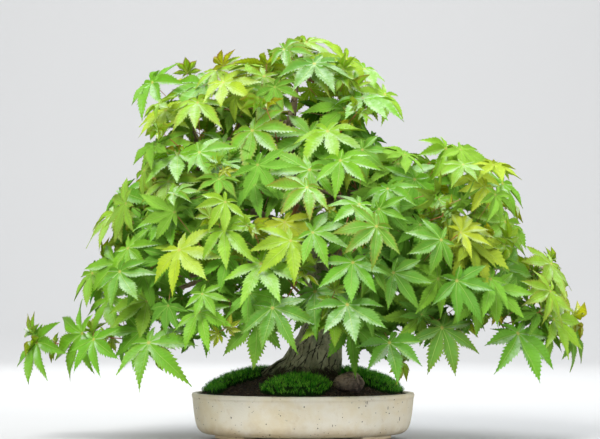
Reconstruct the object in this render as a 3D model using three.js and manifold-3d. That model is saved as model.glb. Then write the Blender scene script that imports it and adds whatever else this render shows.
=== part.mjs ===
// A Japanese maple bonsai in a shallow oval stoneware pot: pot, drainage mesh, soil, moss, a stone,
// the leaning trunk with its branches, and the leafy shoots, each with its red stalks and lobed leaves.
// Millimetres, +Z up. The origin is under the middle of the pot, on the surface that it stands on,
// with the front of the tree towards -Y.

import * as THREE from "three";
import { mergeVertices } from "three/addons/utils/BufferGeometryUtils.js";
import Module from "manifold-3d";

const wasm = await Module();
wasm.setup();

// ---------------------------------------------------------------- driving dimensions

const CLEARANCE = 0.3; // between pieces that rest against each other
const FINEST = 0.02; // edges and steps finer than this are smoothed away
const SHORTEST_EDGE = 0.006; // a leaf whose join leaves a finer edge is set another way

// Pot: an oval tray with a rolled lip, on four feet.
const POT_LENGTH = 260; // across the lip, end to end
const POT_DEPTH = 196; // across the lip, front to back
const POT_HEIGHT = 55; // from the surface to the top of the lip
const POT_WALL = 7;
const POT_FLOOR = 6;
const POT_SIDES = 36;
const FOOT_HEIGHT = 8;
const FOOT_ARC = 27; // degrees of the oval that a foot follows
const FOOT_PLACES = [-140, -40, 40, 140]; // degrees round the oval, from the right-hand end
const FOOT_WIDTH = 20;
const FOOT_STEP = 3; // a foot's upper tier stands out by this much
const DRAIN_RADIUS = 9;
const DRAIN_X = 58; // drain holes left and right of the middle
const MESH_SIDE = 28;
const MESH_THICK = 1.2;
const MESH_HOLES = 2; // openings along a side of the drainage mesh
const MESH_BAR = 3;

// Ground: soil heaped towards the trunk.
const SOIL_EDGE_Z = POT_HEIGHT - 3.5;
const SOIL_MOUND = 26;

// Trunk: centre line, and half-width at each point.
const TRUNK = [
  [4, 2, 36, 27],
  [5, 2, 60, 34],
  [8, 2, 80, 36],
  [15, 1, 98, 32],
  [21, 0, 116, 27],
  [25, 0, 138, 23.5],
  [21, 0, 166, 21],
  [11, 2, 198, 19],
  [-3, 3, 242, 15],
  [-14, 1, 290, 11.5],
  [-18, 0, 336, 8.5],
  [-13, 2, 380, 5.5],
  [-8, 2, 412, 3.4],
];
const TRUNK_SIDES = 10;

// Surface roots: bearing in degrees, reach from the trunk's middle, and half-width where they start.
const ROOTS = [
  [186, 66, 13],
  [232, 50, 11],
  [292, 46, 10],
  [348, 58, 11],
  [48, 56, 11],
  [128, 60, 12],
];

// Main branches: where they leave the trunk and how they run, with half-widths at start and end.
const BRANCHES = {
  low_left: {
    line: [[18, 0, 150], [-30, -14, 163], [-95, -28, 160], [-165, -34, 150], [-228, -26, 140]],
    half: [10, 3.4],
  },
  low_right: {
    line: [[20, 0, 158], [66, -12, 178], [130, -22, 182], [190, -20, 172], [246, -10, 158]],
    half: [9.5, 3.2],
  },
  low_front: {
    line: [[20, -4, 166], [22, -48, 176], [14, -92, 168], [6, -128, 158]],
    half: [7.5, 3],
  },
  low_back: {
    line: [[14, 6, 176], [28, 52, 186], [24, 100, 180], [14, 140, 168]],
    half: [8, 3],
  },
  back_left: {
    line: [[6, 4, 204], [-50, 44, 206], [-112, 84, 192], [-168, 98, 172]],
    half: [7.5, 2.8],
  },
  back_right: {
    line: [[0, 6, 218], [56, 46, 222], [120, 78, 206], [182, 90, 184]],
    half: [7.5, 2.8],
  },
  front_left: {
    line: [[10, -2, 192], [-34, -46, 206], [-84, -84, 200], [-128, -102, 188]],
    half: [7.5, 2.8],
  },
  front_right: {
    line: [[4, -2, 214], [50, -48, 222], [98, -82, 212], [148, -98, 194]],
    half: [7, 2.8],
  },
  mid_left: {
    line: [[-4, 0, 244], [-54, -8, 264], [-112, -14, 266], [-172, -12, 252]],
    half: [7, 2.8],
  },
  mid_right: {
    line: [[-8, 0, 262], [44, -8, 284], [100, -12, 294], [158, -10, 292]],
    half: [6.5, 2.6],
  },
  mid_front: {
    line: [[-8, -2, 272], [-2, -42, 292], [8, -82, 294], [16, -112, 284]],
    half: [6, 2.6],
  },
  mid_back: {
    line: [[-12, 2, 282], [-10, 44, 300], [0, 84, 298], [6, 112, 288]],
    half: [6, 2.6],
  },
  high_left: {
    line: [[-16, 0, 316], [-54, -10, 342], [-98, -12, 352], [-128, -8, 350]],
    half: [5, 2.4],
  },
  high_right: {
    line: [[-17, 0, 332], [18, -10, 358], [56, -12, 372], [84, -8, 374]],
    half: [4.6, 2.4],
  },
  high_front: {
    line: [[-16, -1, 346], [-20, -34, 366], [-22, -62, 370]],
    half: [4.2, 2.4],
  },
  high_back: {
    line: [[-16, 1, 352], [-20, 34, 372], [-22, 62, 372]],
    half: [4.2, 2.4],
  },
  apex: {
    line: [[-9, 2, 408], [-6, 0, 424]],
    half: [3, 2.4],
  },
};
const BRANCH_SIDES = 5;
const BRANCH_NODES = [0.97, 0.85, 0.73, 0.61, 0.49, 0.37]; // where shoots may leave a branch
const BRANCH_STUB = 0.03; // of its length, that a branch goes past its last shoot

// Leafy shoots: the branch that each grows from, the middle of its leaves, and how many there are.
const SHOOTS = [
  // top
  ["apex", 13, -10, 443, 4],
  ["high_left", -72, -30, 411, 4],
  ["high_left", -150, -10, 402, 4],
  ["high_right", 71, -15, 404, 4],
  ["high_right", 40, 62, 404, 4],
  ["high_back", -50, 66, 414, 4],
  ["high_front", -28, -75, 346, 4],
  ["high_right", 38, -62, 364, 4],
  ["high_right", 48, -14, 340, 3],
  ["high_left", -130, -50, 333, 4],
  ["high_left", -112, 58, 366, 3],
  // middle
  ["mid_left", -81, -90, 301, 4],
  ["mid_left", -194, -15, 266, 4],
  ["mid_left", -149, -80, 257, 4],
  ["mid_front", -14, -122, 272, 4],
  ["mid_right", 66, -84, 299, 4],
  ["mid_right", 143, -50, 288, 4],
  ["mid_right", 200, -14, 307, 4],
  ["mid_right", 122, 62, 300, 4],
  ["mid_front", 112, -112, 256, 4],
  ["low_right", 193, -75, 240, 4],
  ["mid_right", 228, -8, 240, 4],
  ["mid_back", 44, 112, 318, 4],
  ["mid_back", -62, 116, 312, 4],
  ["mid_left", -160, 66, 292, 4],
  // lower middle
  ["low_front", -44, -150, 218, 4],
  ["front_left", -104, -128, 222, 4],
  ["front_left", -170, -95, 201, 4],
  ["low_left", -220, -34, 206, 4],
  ["low_front", 45, -155, 221, 4],
  ["front_right", 116, -130, 189, 4],
  ["low_right", 253, -30, 190, 4],
  // skirt
  ["low_right", 296, -20, 146, 4],
  ["low_right", 242, -72, 147, 4],
  ["front_right", 180, -112, 176, 3],
  ["front_right", 150, -108, 143, 3],
  ["front_right", 92, -118, 122, 4],
  ["low_front", 38, -156, 176, 4],
  ["low_front", -24, -155, 170, 3],
  ["front_left", -82, -140, 152, 4],
  ["front_left", -146, -108, 134, 4],
  ["low_left", -208, -72, 130, 4],
  ["low_left", -278, -22, 119, 5],
  // back
  ["back_left", -212, 70, 206, 4],
  ["back_left", -130, 134, 226, 4],
  ["low_back", -30, 157, 226, 4],
  ["back_right", 70, 154, 232, 4],
  ["back_right", 166, 118, 238, 4],
  ["back_right", 244, 56, 190, 4],
];
const SEED = 20;
const TWIG_HALF = [2.3, 1.9];
const TWIG_SIDES = 3;
const TWIG_NODES = [0.96, 0.09]; // where along the twig the leaves' stalks start, and their spacing
const TWIG_SPANS = 2;
const TWIG_RISE = 0.07; // of its length, that a twig bows upwards

// Crown: the oval that gives a leaf its outward direction, and how steeply leaves slope.
const CROWN_HALF_X = 330;
const CROWN_HALF_Y = 205;
const SLOPE_LOW = 30; // degrees that a leaf faces upwards at the crown's foot
const SLOPE_HIGH = 52; // and at its top
const FRONT_PULL = 0.0022; // turns the leaves of the front half towards the front
const FRONT_ENDS_Y = 40;
const CROWN_FOOT_Z = 120;
const CROWN_TOP_Z = 440;

// Leaf: seven lobes. Each has its bearing from the middle lobe, in degrees, and its share of the reach.
const LOBES = [
  [-85, 0.78],
  [-43, 0.95],
  [0, 1],
  [43, 0.95],
  [85, 0.78],
];
const BASAL_LOBE = [136, 0.4];
const LOBE_FLANK = [0.5, 0.16]; // widest place along a lobe, and its half-width there
const SINUS_REACH = 0.24;
const NOTCH_REACH = 0.07;
const LEAF_REACH = 53; // middle lobe, from the stalk to its tip
const LEAF_VARIES = [0.84, 0.32];
const LEAF_THICK = 1.7; // at the stalk; it thins towards the edge
const LEAF_DROOP = 0.2; // of the reach, at the tips
const LEAF_FOLD = 0.06; // flanks stand this share of the reach above the rib
const STALK_HALF = [0.55, 0.55];
const STALK_JOINT = 0.8; // half-width where a stalk widens into its blade
const STALK_STEEP = 0.4; // least share of a stalk's direction that is square to the blade

// How the leaves of a shoot are set round its end.
const LEAF_RING = 34; // from the shoot's middle to a leaf's stalk end
const LEAF_RING_RISE = 12; // leaves hang, so their stalk ends sit higher than the middle of the spray
const LEAF_DEPTH = 22; // spread of the stalk ends in and out of the crown
const TIP_DEPTH = 27; // the twig ends this far behind the leaves
const LEAF_TURN = 50; // degrees that leaves at the sides of a shoot turn outwards
const LEAF_SPIN = 44; // range of a leaf's random turn
const LEAF_GAP = 0.6; // least distance between leaves of different shoots
const TRIES = 30;
const TRY_SHRINK = 0.99;
const TRY_OUT = 1.3; // each new try moves the leaf outwards by this much

const UP = new THREE.Vector3(0, 0, 1);
const rad = THREE.MathUtils.degToRad;

// ---------------------------------------------------------------- finishes

const finish = (color, roughness) => new THREE.MeshStandardMaterial({ color, roughness, metalness: 0 });
const FINISHES = {
  glaze: finish(0xd9d0b4, 0.45),
  plastic: finish(0x1c1c1c, 0.6),
  soil: finish(0x2b221c, 0.95),
  moss: finish(0x2f7a1c, 0.9),
  stone: finish(0x6d5f52, 0.85),
  bark: finish(0x6f6a55, 0.85),
  leaf: finish(0x63b545, 0.5),
};

// ---------------------------------------------------------------- solids

/** Turns a closed geometry into a solid for boolean work. */
function toSolid(geometry) {
  const bare = geometry.clone();
  bare.deleteAttribute("normal");
  bare.deleteAttribute("uv");
  const merged = mergeVertices(bare, 1e-4);
  const corners = merged.index.array;
  const kept = [];
  for (let i = 0; i < corners.length; i += 3) {
    const [a, b, c] = corners.slice(i, i + 3);
    if (a !== b && b !== c && c !== a) kept.push(a, b, c);
  }
  const vertProperties = new Float32Array(merged.attributes.position.array);
  return new wasm.Manifold(
    new wasm.Mesh({ numProp: 3, vertProperties, triVerts: new Uint32Array(kept) }),
  );
}

/** Turns a solid back into a geometry, without the slivers that cuts and joins leave. */
function toGeometry(solid) {
  const mesh = solid.simplify(FINEST).getMesh();
  const geometry = new THREE.BufferGeometry();
  geometry.setAttribute("position", new THREE.BufferAttribute(mesh.vertProperties, 3));
  geometry.setIndex(new THREE.BufferAttribute(mesh.triVerts, 1));
  geometry.computeVertexNormals();
  return geometry;
}

const unite = (solids) => wasm.Manifold.union(solids);

/** A closed skin through rings of equal length, each a list of points, with its two ends capped. */
function loft(rings) {
  const sides = rings[0].length;
  const points = rings.flat();
  const index = [];
  for (let i = 0; i + 1 < rings.length; i++)
    for (let j = 0; j < sides; j++) {
      const [a, b] = [i * sides + j, i * sides + ((j + 1) % sides)];
      index.push(a, b, a + sides, b, b + sides, a + sides);
    }
  const last = (rings.length - 1) * sides;
  for (let j = 1; j + 1 < sides; j++) {
    index.push(0, j + 1, j);
    index.push(last, last + j, last + j + 1);
  }
  return toSolid(new THREE.BufferGeometry().setFromPoints(points).setIndex(index));
}

/** A tapering limb along a curve: sides, stations, and the half-width by the share of its length. */
function limb(curve, stations, sides, halfAt) {
  const frames = curve.computeFrenetFrames(stations);
  const rings = [];
  for (let i = 0; i <= stations; i++) {
    const share = i / stations;
    const middle = curve.getPointAt(share);
    const half = halfAt(share);
    const ring = [];
    for (let j = 0; j < sides; j++) {
      const turn = (2 * Math.PI * j) / sides;
      ring.push(
        middle
          .clone()
          .addScaledVector(frames.normals[i], half * Math.cos(turn))
          .addScaledVector(frames.binormals[i], half * Math.sin(turn)),
      );
    }
    rings.push(ring);
  }
  return loft(rings);
}

const curveOf = (line) => new THREE.CatmullRomCurve3(line.map((p) => new THREE.Vector3(...p)));
const taper = ([start, end]) => (share) => start + (end - start) * share;

// ---------------------------------------------------------------- pot and what is in it

const POT_HALF = POT_LENGTH / 2;
const NARROWER = (POT_LENGTH - POT_DEPTH) / 2; // the oval is this much narrower front and back
const FLOOR_RADIUS = POT_HALF - 22;
const FLOOR_Z = FOOT_HEIGHT + POT_FLOOR;
const INSIDE = POT_HALF - POT_WALL;

/** The half-depth of the oval with a half-length of radius: even walls outside the floor, scaled in it. */
const halfDepth = (radius) => radius - NARROWER * Math.min(1, radius / FLOOR_RADIUS);

/** A turned profile of [radius, height] pairs, from axis to axis, made oval. */
function ovalTurned(profile) {
  const geometry = new THREE.LatheGeometry(
    profile.map(([r, z]) => new THREE.Vector2(r, z)),
    POT_SIDES,
  );
  geometry.rotateX(Math.PI / 2);
  const at = geometry.attributes.position;
  for (let i = 0; i < at.count; i++) {
    const radius = Math.hypot(at.getX(i), at.getY(i));
    if (radius > 1e-6) at.setY(i, (at.getY(i) * halfDepth(radius)) / radius);
  }
  return outward(toSolid(geometry));
}

/** The same solid with its faces turned to point outwards. */
function outward(solid) {
  if (solid.volume() > 0) return solid;
  const mesh = solid.getMesh();
  const triVerts = mesh.triVerts.map((_, i, all) => all[i - (i % 3) + (2 - (i % 3))]);
  return new wasm.Manifold(
    new wasm.Mesh({ numProp: 3, vertProperties: mesh.vertProperties, triVerts }),
  );
}

/** One tier of a foot: a block that follows the oval between two radii. */
function footTier(middle, arc, inner, outer, low, high) {
  const steps = 3;
  const rings = [];
  for (let i = 0; i <= steps; i++) {
    const turn = rad(middle + arc * (i / steps - 0.5));
    const at = (r, z) =>
      new THREE.Vector3(r * Math.cos(turn), (r - NARROWER) * Math.sin(turn), z);
    rings.push([at(inner, low), at(outer, low), at(outer, high), at(inner, high)]);
  }
  return outward(loft(rings));
}

function pot() {
  const body = ovalTurned([
    [0, FOOT_HEIGHT],
    [POT_HALF - 18, FOOT_HEIGHT],
    [POT_HALF - 12, FOOT_HEIGHT + 1.5],
    [POT_HALF - 7, FOOT_HEIGHT + 6],
    [POT_HALF - 3.6, FOOT_HEIGHT + 17],
    [POT_HALF - 1.3, POT_HEIGHT - 7],
    [POT_HALF - 0.2, POT_HEIGHT - 5.8],
    [POT_HALF, POT_HEIGHT - 2],
    [POT_HALF - 1.6, POT_HEIGHT],
    [INSIDE, POT_HEIGHT],
    [INSIDE - 2, FLOOR_Z + 10],
    [INSIDE - 12, FLOOR_Z],
    [0, FLOOR_Z],
  ]);
  const outer = POT_HALF - 20;
  const feet = FOOT_PLACES.flatMap((middle) => [
    footTier(middle, FOOT_ARC, outer - FOOT_WIDTH, outer + FOOT_STEP, FOOT_HEIGHT - 3.5, FOOT_HEIGHT + 1),
    footTier(middle, FOOT_ARC - 7, outer - FOOT_WIDTH + FOOT_STEP, outer, 0, FOOT_HEIGHT),
  ]);
  const bore = new THREE.CylinderGeometry(DRAIN_RADIUS, DRAIN_RADIUS, 40, 16).rotateX(Math.PI / 2);
  const drains = [-DRAIN_X, DRAIN_X].map((x) => toSolid(bore.clone().translate(x, 0, 10)));
  return drains.reduce((made, drain) => made.subtract(drain), unite([body, ...feet]));
}

const MESH_Z = FLOOR_Z + CLEARANCE;

function drainageMesh(x) {
  const z = MESH_Z + MESH_THICK / 2;
  const opening = (MESH_SIDE - MESH_BAR * (MESH_HOLES + 1)) / MESH_HOLES;
  const pitch = opening + MESH_BAR;
  let sheet = toSolid(new THREE.BoxGeometry(MESH_SIDE, MESH_SIDE, MESH_THICK).translate(x, 0, z));
  for (let i = 0; i < MESH_HOLES; i++)
    for (let j = 0; j < MESH_HOLES; j++) {
      const [dx, dy] = [i, j].map((n) => (n - (MESH_HOLES - 1) / 2) * pitch);
      const hole = new THREE.BoxGeometry(opening, opening, MESH_THICK * 2).translate(x + dx, dy, z);
      sheet = sheet.subtract(toSolid(hole));
    }
  return sheet;
}

/** Height of the soil at a place on the oval, by the half-length of the oval through it. */
const soilAt = (radius) => {
  const share = Math.min(1, radius / INSIDE);
  return SOIL_EDGE_Z + SOIL_MOUND * (1 - share * share) ** 1.3;
};

/** Height of the soil at x, y. */
function groundAt(x, y) {
  let [low, high] = [0, INSIDE + 20];
  for (let i = 0; i < 30; i++) {
    const radius = (low + high) / 2;
    const depth = Math.max(halfDepth(radius), 1e-3);
    if (Math.hypot(x / radius, y / depth) > 1) low = radius;
    else high = radius;
  }
  return soilAt((low + high) / 2);
}

/** The soil as a plain filling, lifted by a clearance where something rests on it. */
function soilFilling(lift) {
  const wall = INSIDE - CLEARANCE;
  const top = [0.78, 0.5].map((share) => [
    share * INSIDE,
    soilAt(share * INSIDE) + lift,
  ]);
  return ovalTurned([
    [0, FLOOR_Z + CLEARANCE],
    [wall - 12, FLOOR_Z + CLEARANCE],
    [wall - 2, FLOOR_Z + CLEARANCE + 10],
    [wall - 0.2, soilAt(INSIDE) + lift],
    ...top,
    [0, soilAt(0) + lift],
  ]);
}

/** A cushion of moss: its middle, half-sizes, turn in degrees, thickness, and a wavy outline. */
function mossCushion({ x, y, halfX, halfY, turn, thick, waves }) {
  const sides = 16;
  const at = (share, j, rise) => {
    const a = (2 * Math.PI * j) / sides;
    const swell = 1 + 0.07 * Math.sin(waves * a + x) + 0.05 * Math.sin((waves + 2) * a);
    const [u, v] = [halfX * share * swell * Math.cos(a), halfY * share * swell * Math.sin(a)];
    const [c, s] = [Math.cos(rad(turn)), Math.sin(rad(turn))];
    const [px, py] = [x + u * c - v * s, y + u * s + v * c];
    return new THREE.Vector3(px, py, groundAt(px, py) + rise + 0.6 * Math.sin(3 * j + x));
  };
  const levels = [
    [0.95, -4],
    [1, 1.5],
    [0.82, thick * 0.72],
    [0.42, thick * 1.04],
  ];
  const rings = levels.map(([share, rise]) => Array.from({ length: sides }, (_, j) => at(share, j, rise)));
  return outward(loft(rings));
}

const MOSS = {
  moss_left: { x: -75, y: 14, halfX: 45, halfY: 33, turn: 0, thick: 13, waves: 3 },
  moss_left_end: { x: -100, y: -28, halfX: 15, halfY: 9, turn: -55, thick: 8, waves: 2 },
  moss_front: { x: -7, y: -63, halfX: 40, halfY: 20, turn: 2, thick: 15, waves: 3 },
  moss_right: { x: 79, y: 4, halfX: 40, halfY: 44, turn: -12, thick: 14, waves: 3 },
  moss_back: { x: 0, y: 62, halfX: 46, halfY: 20, turn: 0, thick: 8, waves: 4 },
};

const STONE = { x: 53, y: -52, z: 68, half: [18, 14, 13.5] };

function stone(extra) {
  const geometry = new THREE.IcosahedronGeometry(1, 1);
  const at = geometry.attributes.position;
  for (let i = 0; i < at.count; i++) {
    const [x, y, z] = [at.getX(i), at.getY(i), at.getZ(i)];
    const rough = 1 + 0.07 * Math.sin(5 * x + 2 * y) + 0.06 * Math.cos(4 * y - 5 * z);
    const [a, b, c] = STONE.half.map((half) => half * rough + extra);
    at.setXYZ(i, STONE.x + a * x, STONE.y + b * y, STONE.z + c * z);
  }
  return toSolid(geometry);
}

// ---------------------------------------------------------------- trunk and branches

/** The trunk as rings that swell into ridges near the ground. */
function trunk(extra) {
  const curve = curveOf(TRUNK.map(([x, y, z]) => [x, y, z]));
  const last = TRUNK.length - 1;
  const rings = TRUNK.map(([, , z, half], i) => {
    const middle = curve.getPoint(i / last);
    const along = curve.getTangent(i / last);
    const across = new THREE.Vector3(1, 0, 0).addScaledVector(along, -along.x).normalize();
    const beside = along.clone().cross(across);
    const flare = Math.max(0, (110 - z) / 110);
    return Array.from({ length: TRUNK_SIDES }, (_, j) => {
      const turn = (2 * Math.PI * j) / TRUNK_SIDES;
      const ridges = 1 + 0.04 * Math.sin(3 * turn + i) + flare * 0.16 * Math.cos(6 * turn);
      const reach = half * ridges + extra;
      return middle
        .clone()
        .addScaledVector(across, reach * Math.cos(turn))
        .addScaledVector(beside, reach * 0.9 * Math.sin(turn));
    });
  });
  return outward(loft(rings));
}

/** A surface root that runs out from the trunk and dives into the soil. */
function root([bearing, reach, half], extra) {
  const [c, s] = [Math.cos(rad(bearing)), Math.sin(rad(bearing))];
  const at = (share, rise) => {
    const [x, y] = [6 + reach * share * c, 2 + reach * share * s * 0.85];
    return [x, y, groundAt(x, y) + rise];
  };
  const line = [at(0.25, 12), at(0.55, 6), at(0.8, -1), at(1, -10)];
  return outward(limb(curveOf(line), 3, 5, (share) => half * (1 - 0.62 * share) + extra));
}

const trunkAndRoots = (extra) => unite([trunk(extra), ...ROOTS.map((r) => root(r, extra))]);

const branchCurves = Object.fromEntries(
  Object.entries(BRANCHES).map(([name, { line }]) => [name, curveOf(line)]),
);

// ---------------------------------------------------------------- where shoots and leaves go

/** A seeded random source: the same numbers for the same seed. */
function randomFrom(seed) {
  let state = seed >>> 0;
  return () => {
    state = (state + 0x6d2b79f5) >>> 0;
    let t = state;
    t = Math.imul(t ^ (t >>> 15), t | 1);
    t ^= t + Math.imul(t ^ (t >>> 7), t | 61);
    return ((t ^ (t >>> 14)) >>> 0) / 4294967296;
  };
}

/** Outward and slope directions of the crown at a place: level, facing, down the slope, and sideways. */
function crownAt(place) {
  const pull = place.y < FRONT_ENDS_Y ? FRONT_PULL : 0;
  const [dx, dy] = [place.x / CROWN_HALF_X, place.y / CROWN_HALF_Y];
  const level = new THREE.Vector3(dx / CROWN_HALF_X, dy / CROWN_HALF_Y - pull, 0).normalize();
  const height = THREE.MathUtils.clamp((place.z - CROWN_FOOT_Z) / (CROWN_TOP_Z - CROWN_FOOT_Z), 0, 1);
  const slope = rad(SLOPE_LOW + (SLOPE_HIGH - SLOPE_LOW) * height);
  const facing = level.clone().multiplyScalar(Math.cos(slope)).addScaledVector(UP, Math.sin(slope));
  const down = level.clone().multiplyScalar(Math.sin(slope)).addScaledVector(UP, -Math.cos(slope));
  const side = down.clone().cross(facing);
  return { level, facing, down, side };
}

const freeNodes = Object.fromEntries(
  Object.entries(branchCurves).map(([name, curve]) => [
    name,
    BRANCH_NODES.map((share) => ({ share, point: curve.getPointAt(share) })),
  ]),
);

/** A shoot: where its twig ends, where the twig starts, and where the woody part leaves the branch. */
function shootLine([branch, x, y, z]) {
  const middle = new THREE.Vector3(x, y, z);
  const { level, facing } = crownAt(middle);
  const tip = middle
    .clone()
    .addScaledVector(facing, -TIP_DEPTH)
    .addScaledVector(level, -6);
  const free = freeNodes[branch];
  free.sort((a, b) => a.point.distanceTo(tip) - b.point.distanceTo(tip));
  const start = free.shift().point;
  return { middle, tip, start };
}

/** A branch, as far as the last place where a shoot leaves it. */
function branchSolid([name, { half, line }]) {
  const free = freeNodes[name];
  const lastUsed = BRANCH_NODES.find((share) => !free.some((node) => node.share === share));
  const end = Math.min(1, lastUsed + BRANCH_STUB);
  const stations = line.length;
  const points = Array.from({ length: stations }, (_, i) =>
    branchCurves[name].getPointAt((end * i) / (stations - 1)),
  );
  const trimmed = new THREE.CatmullRomCurve3(points);
  return outward(limb(trimmed, stations - 1, BRANCH_SIDES, taper(half)));
}

/** A shoot's twig, started just clear of the wood: its curve and its solid. */
function growTwig({ tip, start }, wood) {
  const span = tip.clone().sub(start);
  const length = span.length();
  for (let off = 0; ; off += 0.1) {
    const from = start.clone().addScaledVector(span, off / length);
    const bow = from.clone().lerp(tip, 0.5).addScaledVector(UP, length * TWIG_RISE);
    const curve = new THREE.QuadraticBezierCurve3(from, bow, tip);
    const solid = outward(limb(curve, TWIG_SPANS, TWIG_SIDES, taper(TWIG_HALF)));
    if (solid.minGap(wood, 1) >= CLEARANCE) return { curve, solid };
  }
}

/** Where a leaf goes: its stalk's root on the twig, its stalk end, its axes, and its reach. */
function leafPlace(shoot, number, leaf, count, attempt) {
  const random = randomFrom(SEED + 4096 * number + 64 * leaf + attempt);
  const { facing, down, side } = crownAt(shoot.middle);
  const bearing = 2 * Math.PI * ((leaf + 0.55 * (random() - 0.5)) / count + 0.137 * number);
  const ring = LEAF_RING * (0.75 + 0.5 * random());
  const [across, upward] = [Math.sin(bearing), Math.cos(bearing)];
  const depth = LEAF_DEPTH * (random() - 0.5) + TRY_OUT * attempt;
  const end = shoot.middle
    .clone()
    .addScaledVector(side, ring * across)
    .addScaledVector(down, -ring * upward - LEAF_RING_RISE)
    .addScaledVector(facing, depth);
  const spin = rad(LEAF_TURN * across + LEAF_SPIN * (random() - 0.5));
  const tilt = rad(26 * (random() - 0.5));
  const along = down.clone().applyAxisAngle(facing, spin).applyAxisAngle(side, tilt);
  const normal = facing.clone().applyAxisAngle(side, tilt);
  normal.addScaledVector(side, 0.35 * across);
  normal.addScaledVector(along, -normal.dot(along)).normalize();
  const reach = LEAF_REACH * (LEAF_VARIES[0] + LEAF_VARIES[1] * random()) * TRY_SHRINK ** attempt;
  const from = shoot.twig.curve.getPoint(TWIG_NODES[0] - TWIG_NODES[1] * leaf);
  const steep = end.clone().sub(from).normalize().dot(normal);
  return steep < STALK_STEEP ? null : { from, end, along, normal, reach };
}

// ---------------------------------------------------------------- leaves

/** A leaf's outline round its stalk, in shares of its reach: across, along, and above the stalk. */
function leafOutline() {
  const at = (bearing, reach, rise) => [
    reach * Math.sin(rad(bearing)),
    reach * Math.cos(rad(bearing)),
    rise,
  ];
  const outline = [at(180, NOTCH_REACH, 0), at(-BASAL_LOBE[0], BASAL_LOBE[1], -0.06)];
  LOBES.forEach(([bearing, length], i) => {
    const [share, half] = LOBE_FLANK;
    const off = THREE.MathUtils.radToDeg(Math.atan2(half, share));
    const far = Math.hypot(share, half) * length;
    const rise = LEAF_FOLD - LEAF_DROOP * (share * length) ** 2;
    outline.push(at(bearing - off, far, rise));
    outline.push(at(bearing, length, -LEAF_DROOP * length ** 2));
    outline.push(at(bearing + off, far, rise));
    if (i + 1 < LOBES.length) outline.push(at((bearing + LOBES[i + 1][0]) / 2, SINUS_REACH, 0.05));
  });
  outline.push(at(BASAL_LOBE[0], BASAL_LOBE[1], -0.06));
  return outline;
}

const OUTLINE = leafOutline();

/** Points of a leaf: its outline, its top middle, the ring where its stalk joins, and the stalk's root. */
function leafPoints({ from, end, along, normal, reach }) {
  const across = along.clone().cross(normal);
  const inBlade = (x, y, z) =>
    end.clone().addScaledVector(across, x).addScaledVector(along, y).addScaledVector(normal, z);
  const outline = OUTLINE.map(([x, y, z]) => inBlade(x * reach, y * reach, z * reach));
  const top = inBlade(0, 0, LEAF_THICK / 2);
  const bearings = [60, 180, 300].map(rad);
  const joint = bearings.map((b) =>
    inBlade(STALK_JOINT * Math.sin(b), STALK_JOINT * Math.cos(b), -LEAF_THICK / 2),
  );
  const run = end.clone().sub(from).normalize();
  const root = bearings.map((b) => {
    const spoke = inBlade(Math.sin(b), Math.cos(b), 0).sub(end);
    spoke.addScaledVector(run, -spoke.dot(run)).normalize();
    return from.clone().addScaledVector(spoke, STALK_HALF[0]);
  });
  return { outline, top, joint, root };
}

/** One closed skin over a leaf and its stalk: fans from the middle to the outline, above and below. */
function leafSkin(place) {
  const { outline, top, joint, root } = leafPoints(place);
  const count = outline.length;
  const [topAt, jointAt, rootAt] = [count, count + 1, count + 4];
  const nearest = (i) => {
    if (i === 0 || i === count - 1) return jointAt + 1;
    return jointAt + (i < count / 2 ? 2 : 0);
  };
  const index = [];
  for (let i = 0; i < count; i++) {
    const next = (i + 1) % count;
    const [here, after] = [nearest(i), nearest(next)];
    index.push(topAt, next, i, here, i, next);
    if (after !== here) index.push(here, next, after);
  }
  for (let k = 0; k < 3; k++) {
    const next = (k + 1) % 3;
    index.push(jointAt + k, jointAt + next, rootAt + k, jointAt + next, rootAt + next, rootAt + k);
  }
  index.push(rootAt, rootAt + 1, rootAt + 2);
  const points = [...outline, top, ...joint, ...root];
  return outward(toSolid(new THREE.BufferGeometry().setFromPoints(points).setIndex(index)));
}

/** A leaf's blade alone. */
function blade(place) {
  const { outline, top } = leafPoints(place);
  const count = outline.length;
  const index = [];
  for (let i = 0; i < count; i++) {
    const next = (i + 1) % count;
    index.push(count, next, i);
    index.push(count + 1, i, next);
  }
  const under = place.end.clone().addScaledVector(place.normal, -LEAF_THICK / 2);
  const points = [...outline, top, under];
  return outward(toSolid(new THREE.BufferGeometry().setFromPoints(points).setIndex(index)));
}

/** A leaf's stalk alone. */
const stalk = ({ from, end }) =>
  outward(limb(new THREE.LineCurve3(from, end), 1, 3, taper(STALK_HALF)));

/** Whether two boxes come within a gap of each other. */
const near = (a, b, gap) =>
  [0, 1, 2].every((k) => a.min[k] - gap < b.max[k] && b.min[k] - gap < a.max[k]);

/** Keeps solids with their boxes, and tells whether a new one clears them all. */
class Clearing {
  constructor() {
    this.kept = [];
  }
  add(owner, solid, stem = false) {
    this.kept.push({ owner, solid, box: solid.boundingBox(), stem });
  }
  clears(owner, solid, stem = false) {
    const box = solid.boundingBox();
    return this.kept.every((other) => {
      if (other.owner === owner && stem && other.stem) return true;
      if (!near(box, other.box, LEAF_GAP)) return true;
      return solid.minGap(other.solid, LEAF_GAP * 2) >= LEAF_GAP;
    });
  }
}

// ---------------------------------------------------------------- the tree

const shoots = SHOOTS.map((row) => shootLine(row));
const wood = unite([trunkAndRoots(0), ...Object.entries(BRANCHES).map(branchSolid)]);

const clearing = new Clearing();
clearing.add("wood", wood);
shoots.forEach((shoot, i) => {
  shoot.twig = growTwig(shoot, wood);
  clearing.add(i, shoot.twig.solid, true);
});

/** The length of a solid's shortest edge. */
function shortestEdge(solid) {
  const { vertProperties, triVerts } = solid.getMesh();
  const at = (i) => new THREE.Vector3().fromArray(vertProperties, 3 * triVerts[i]);
  let shortest = Infinity;
  for (let i = 0; i < triVerts.length; i++) {
    const next = i % 3 === 2 ? i - 2 : i + 1;
    shortest = Math.min(shortest, at(i).distanceTo(at(next)));
  }
  return shortest;
}

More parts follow.
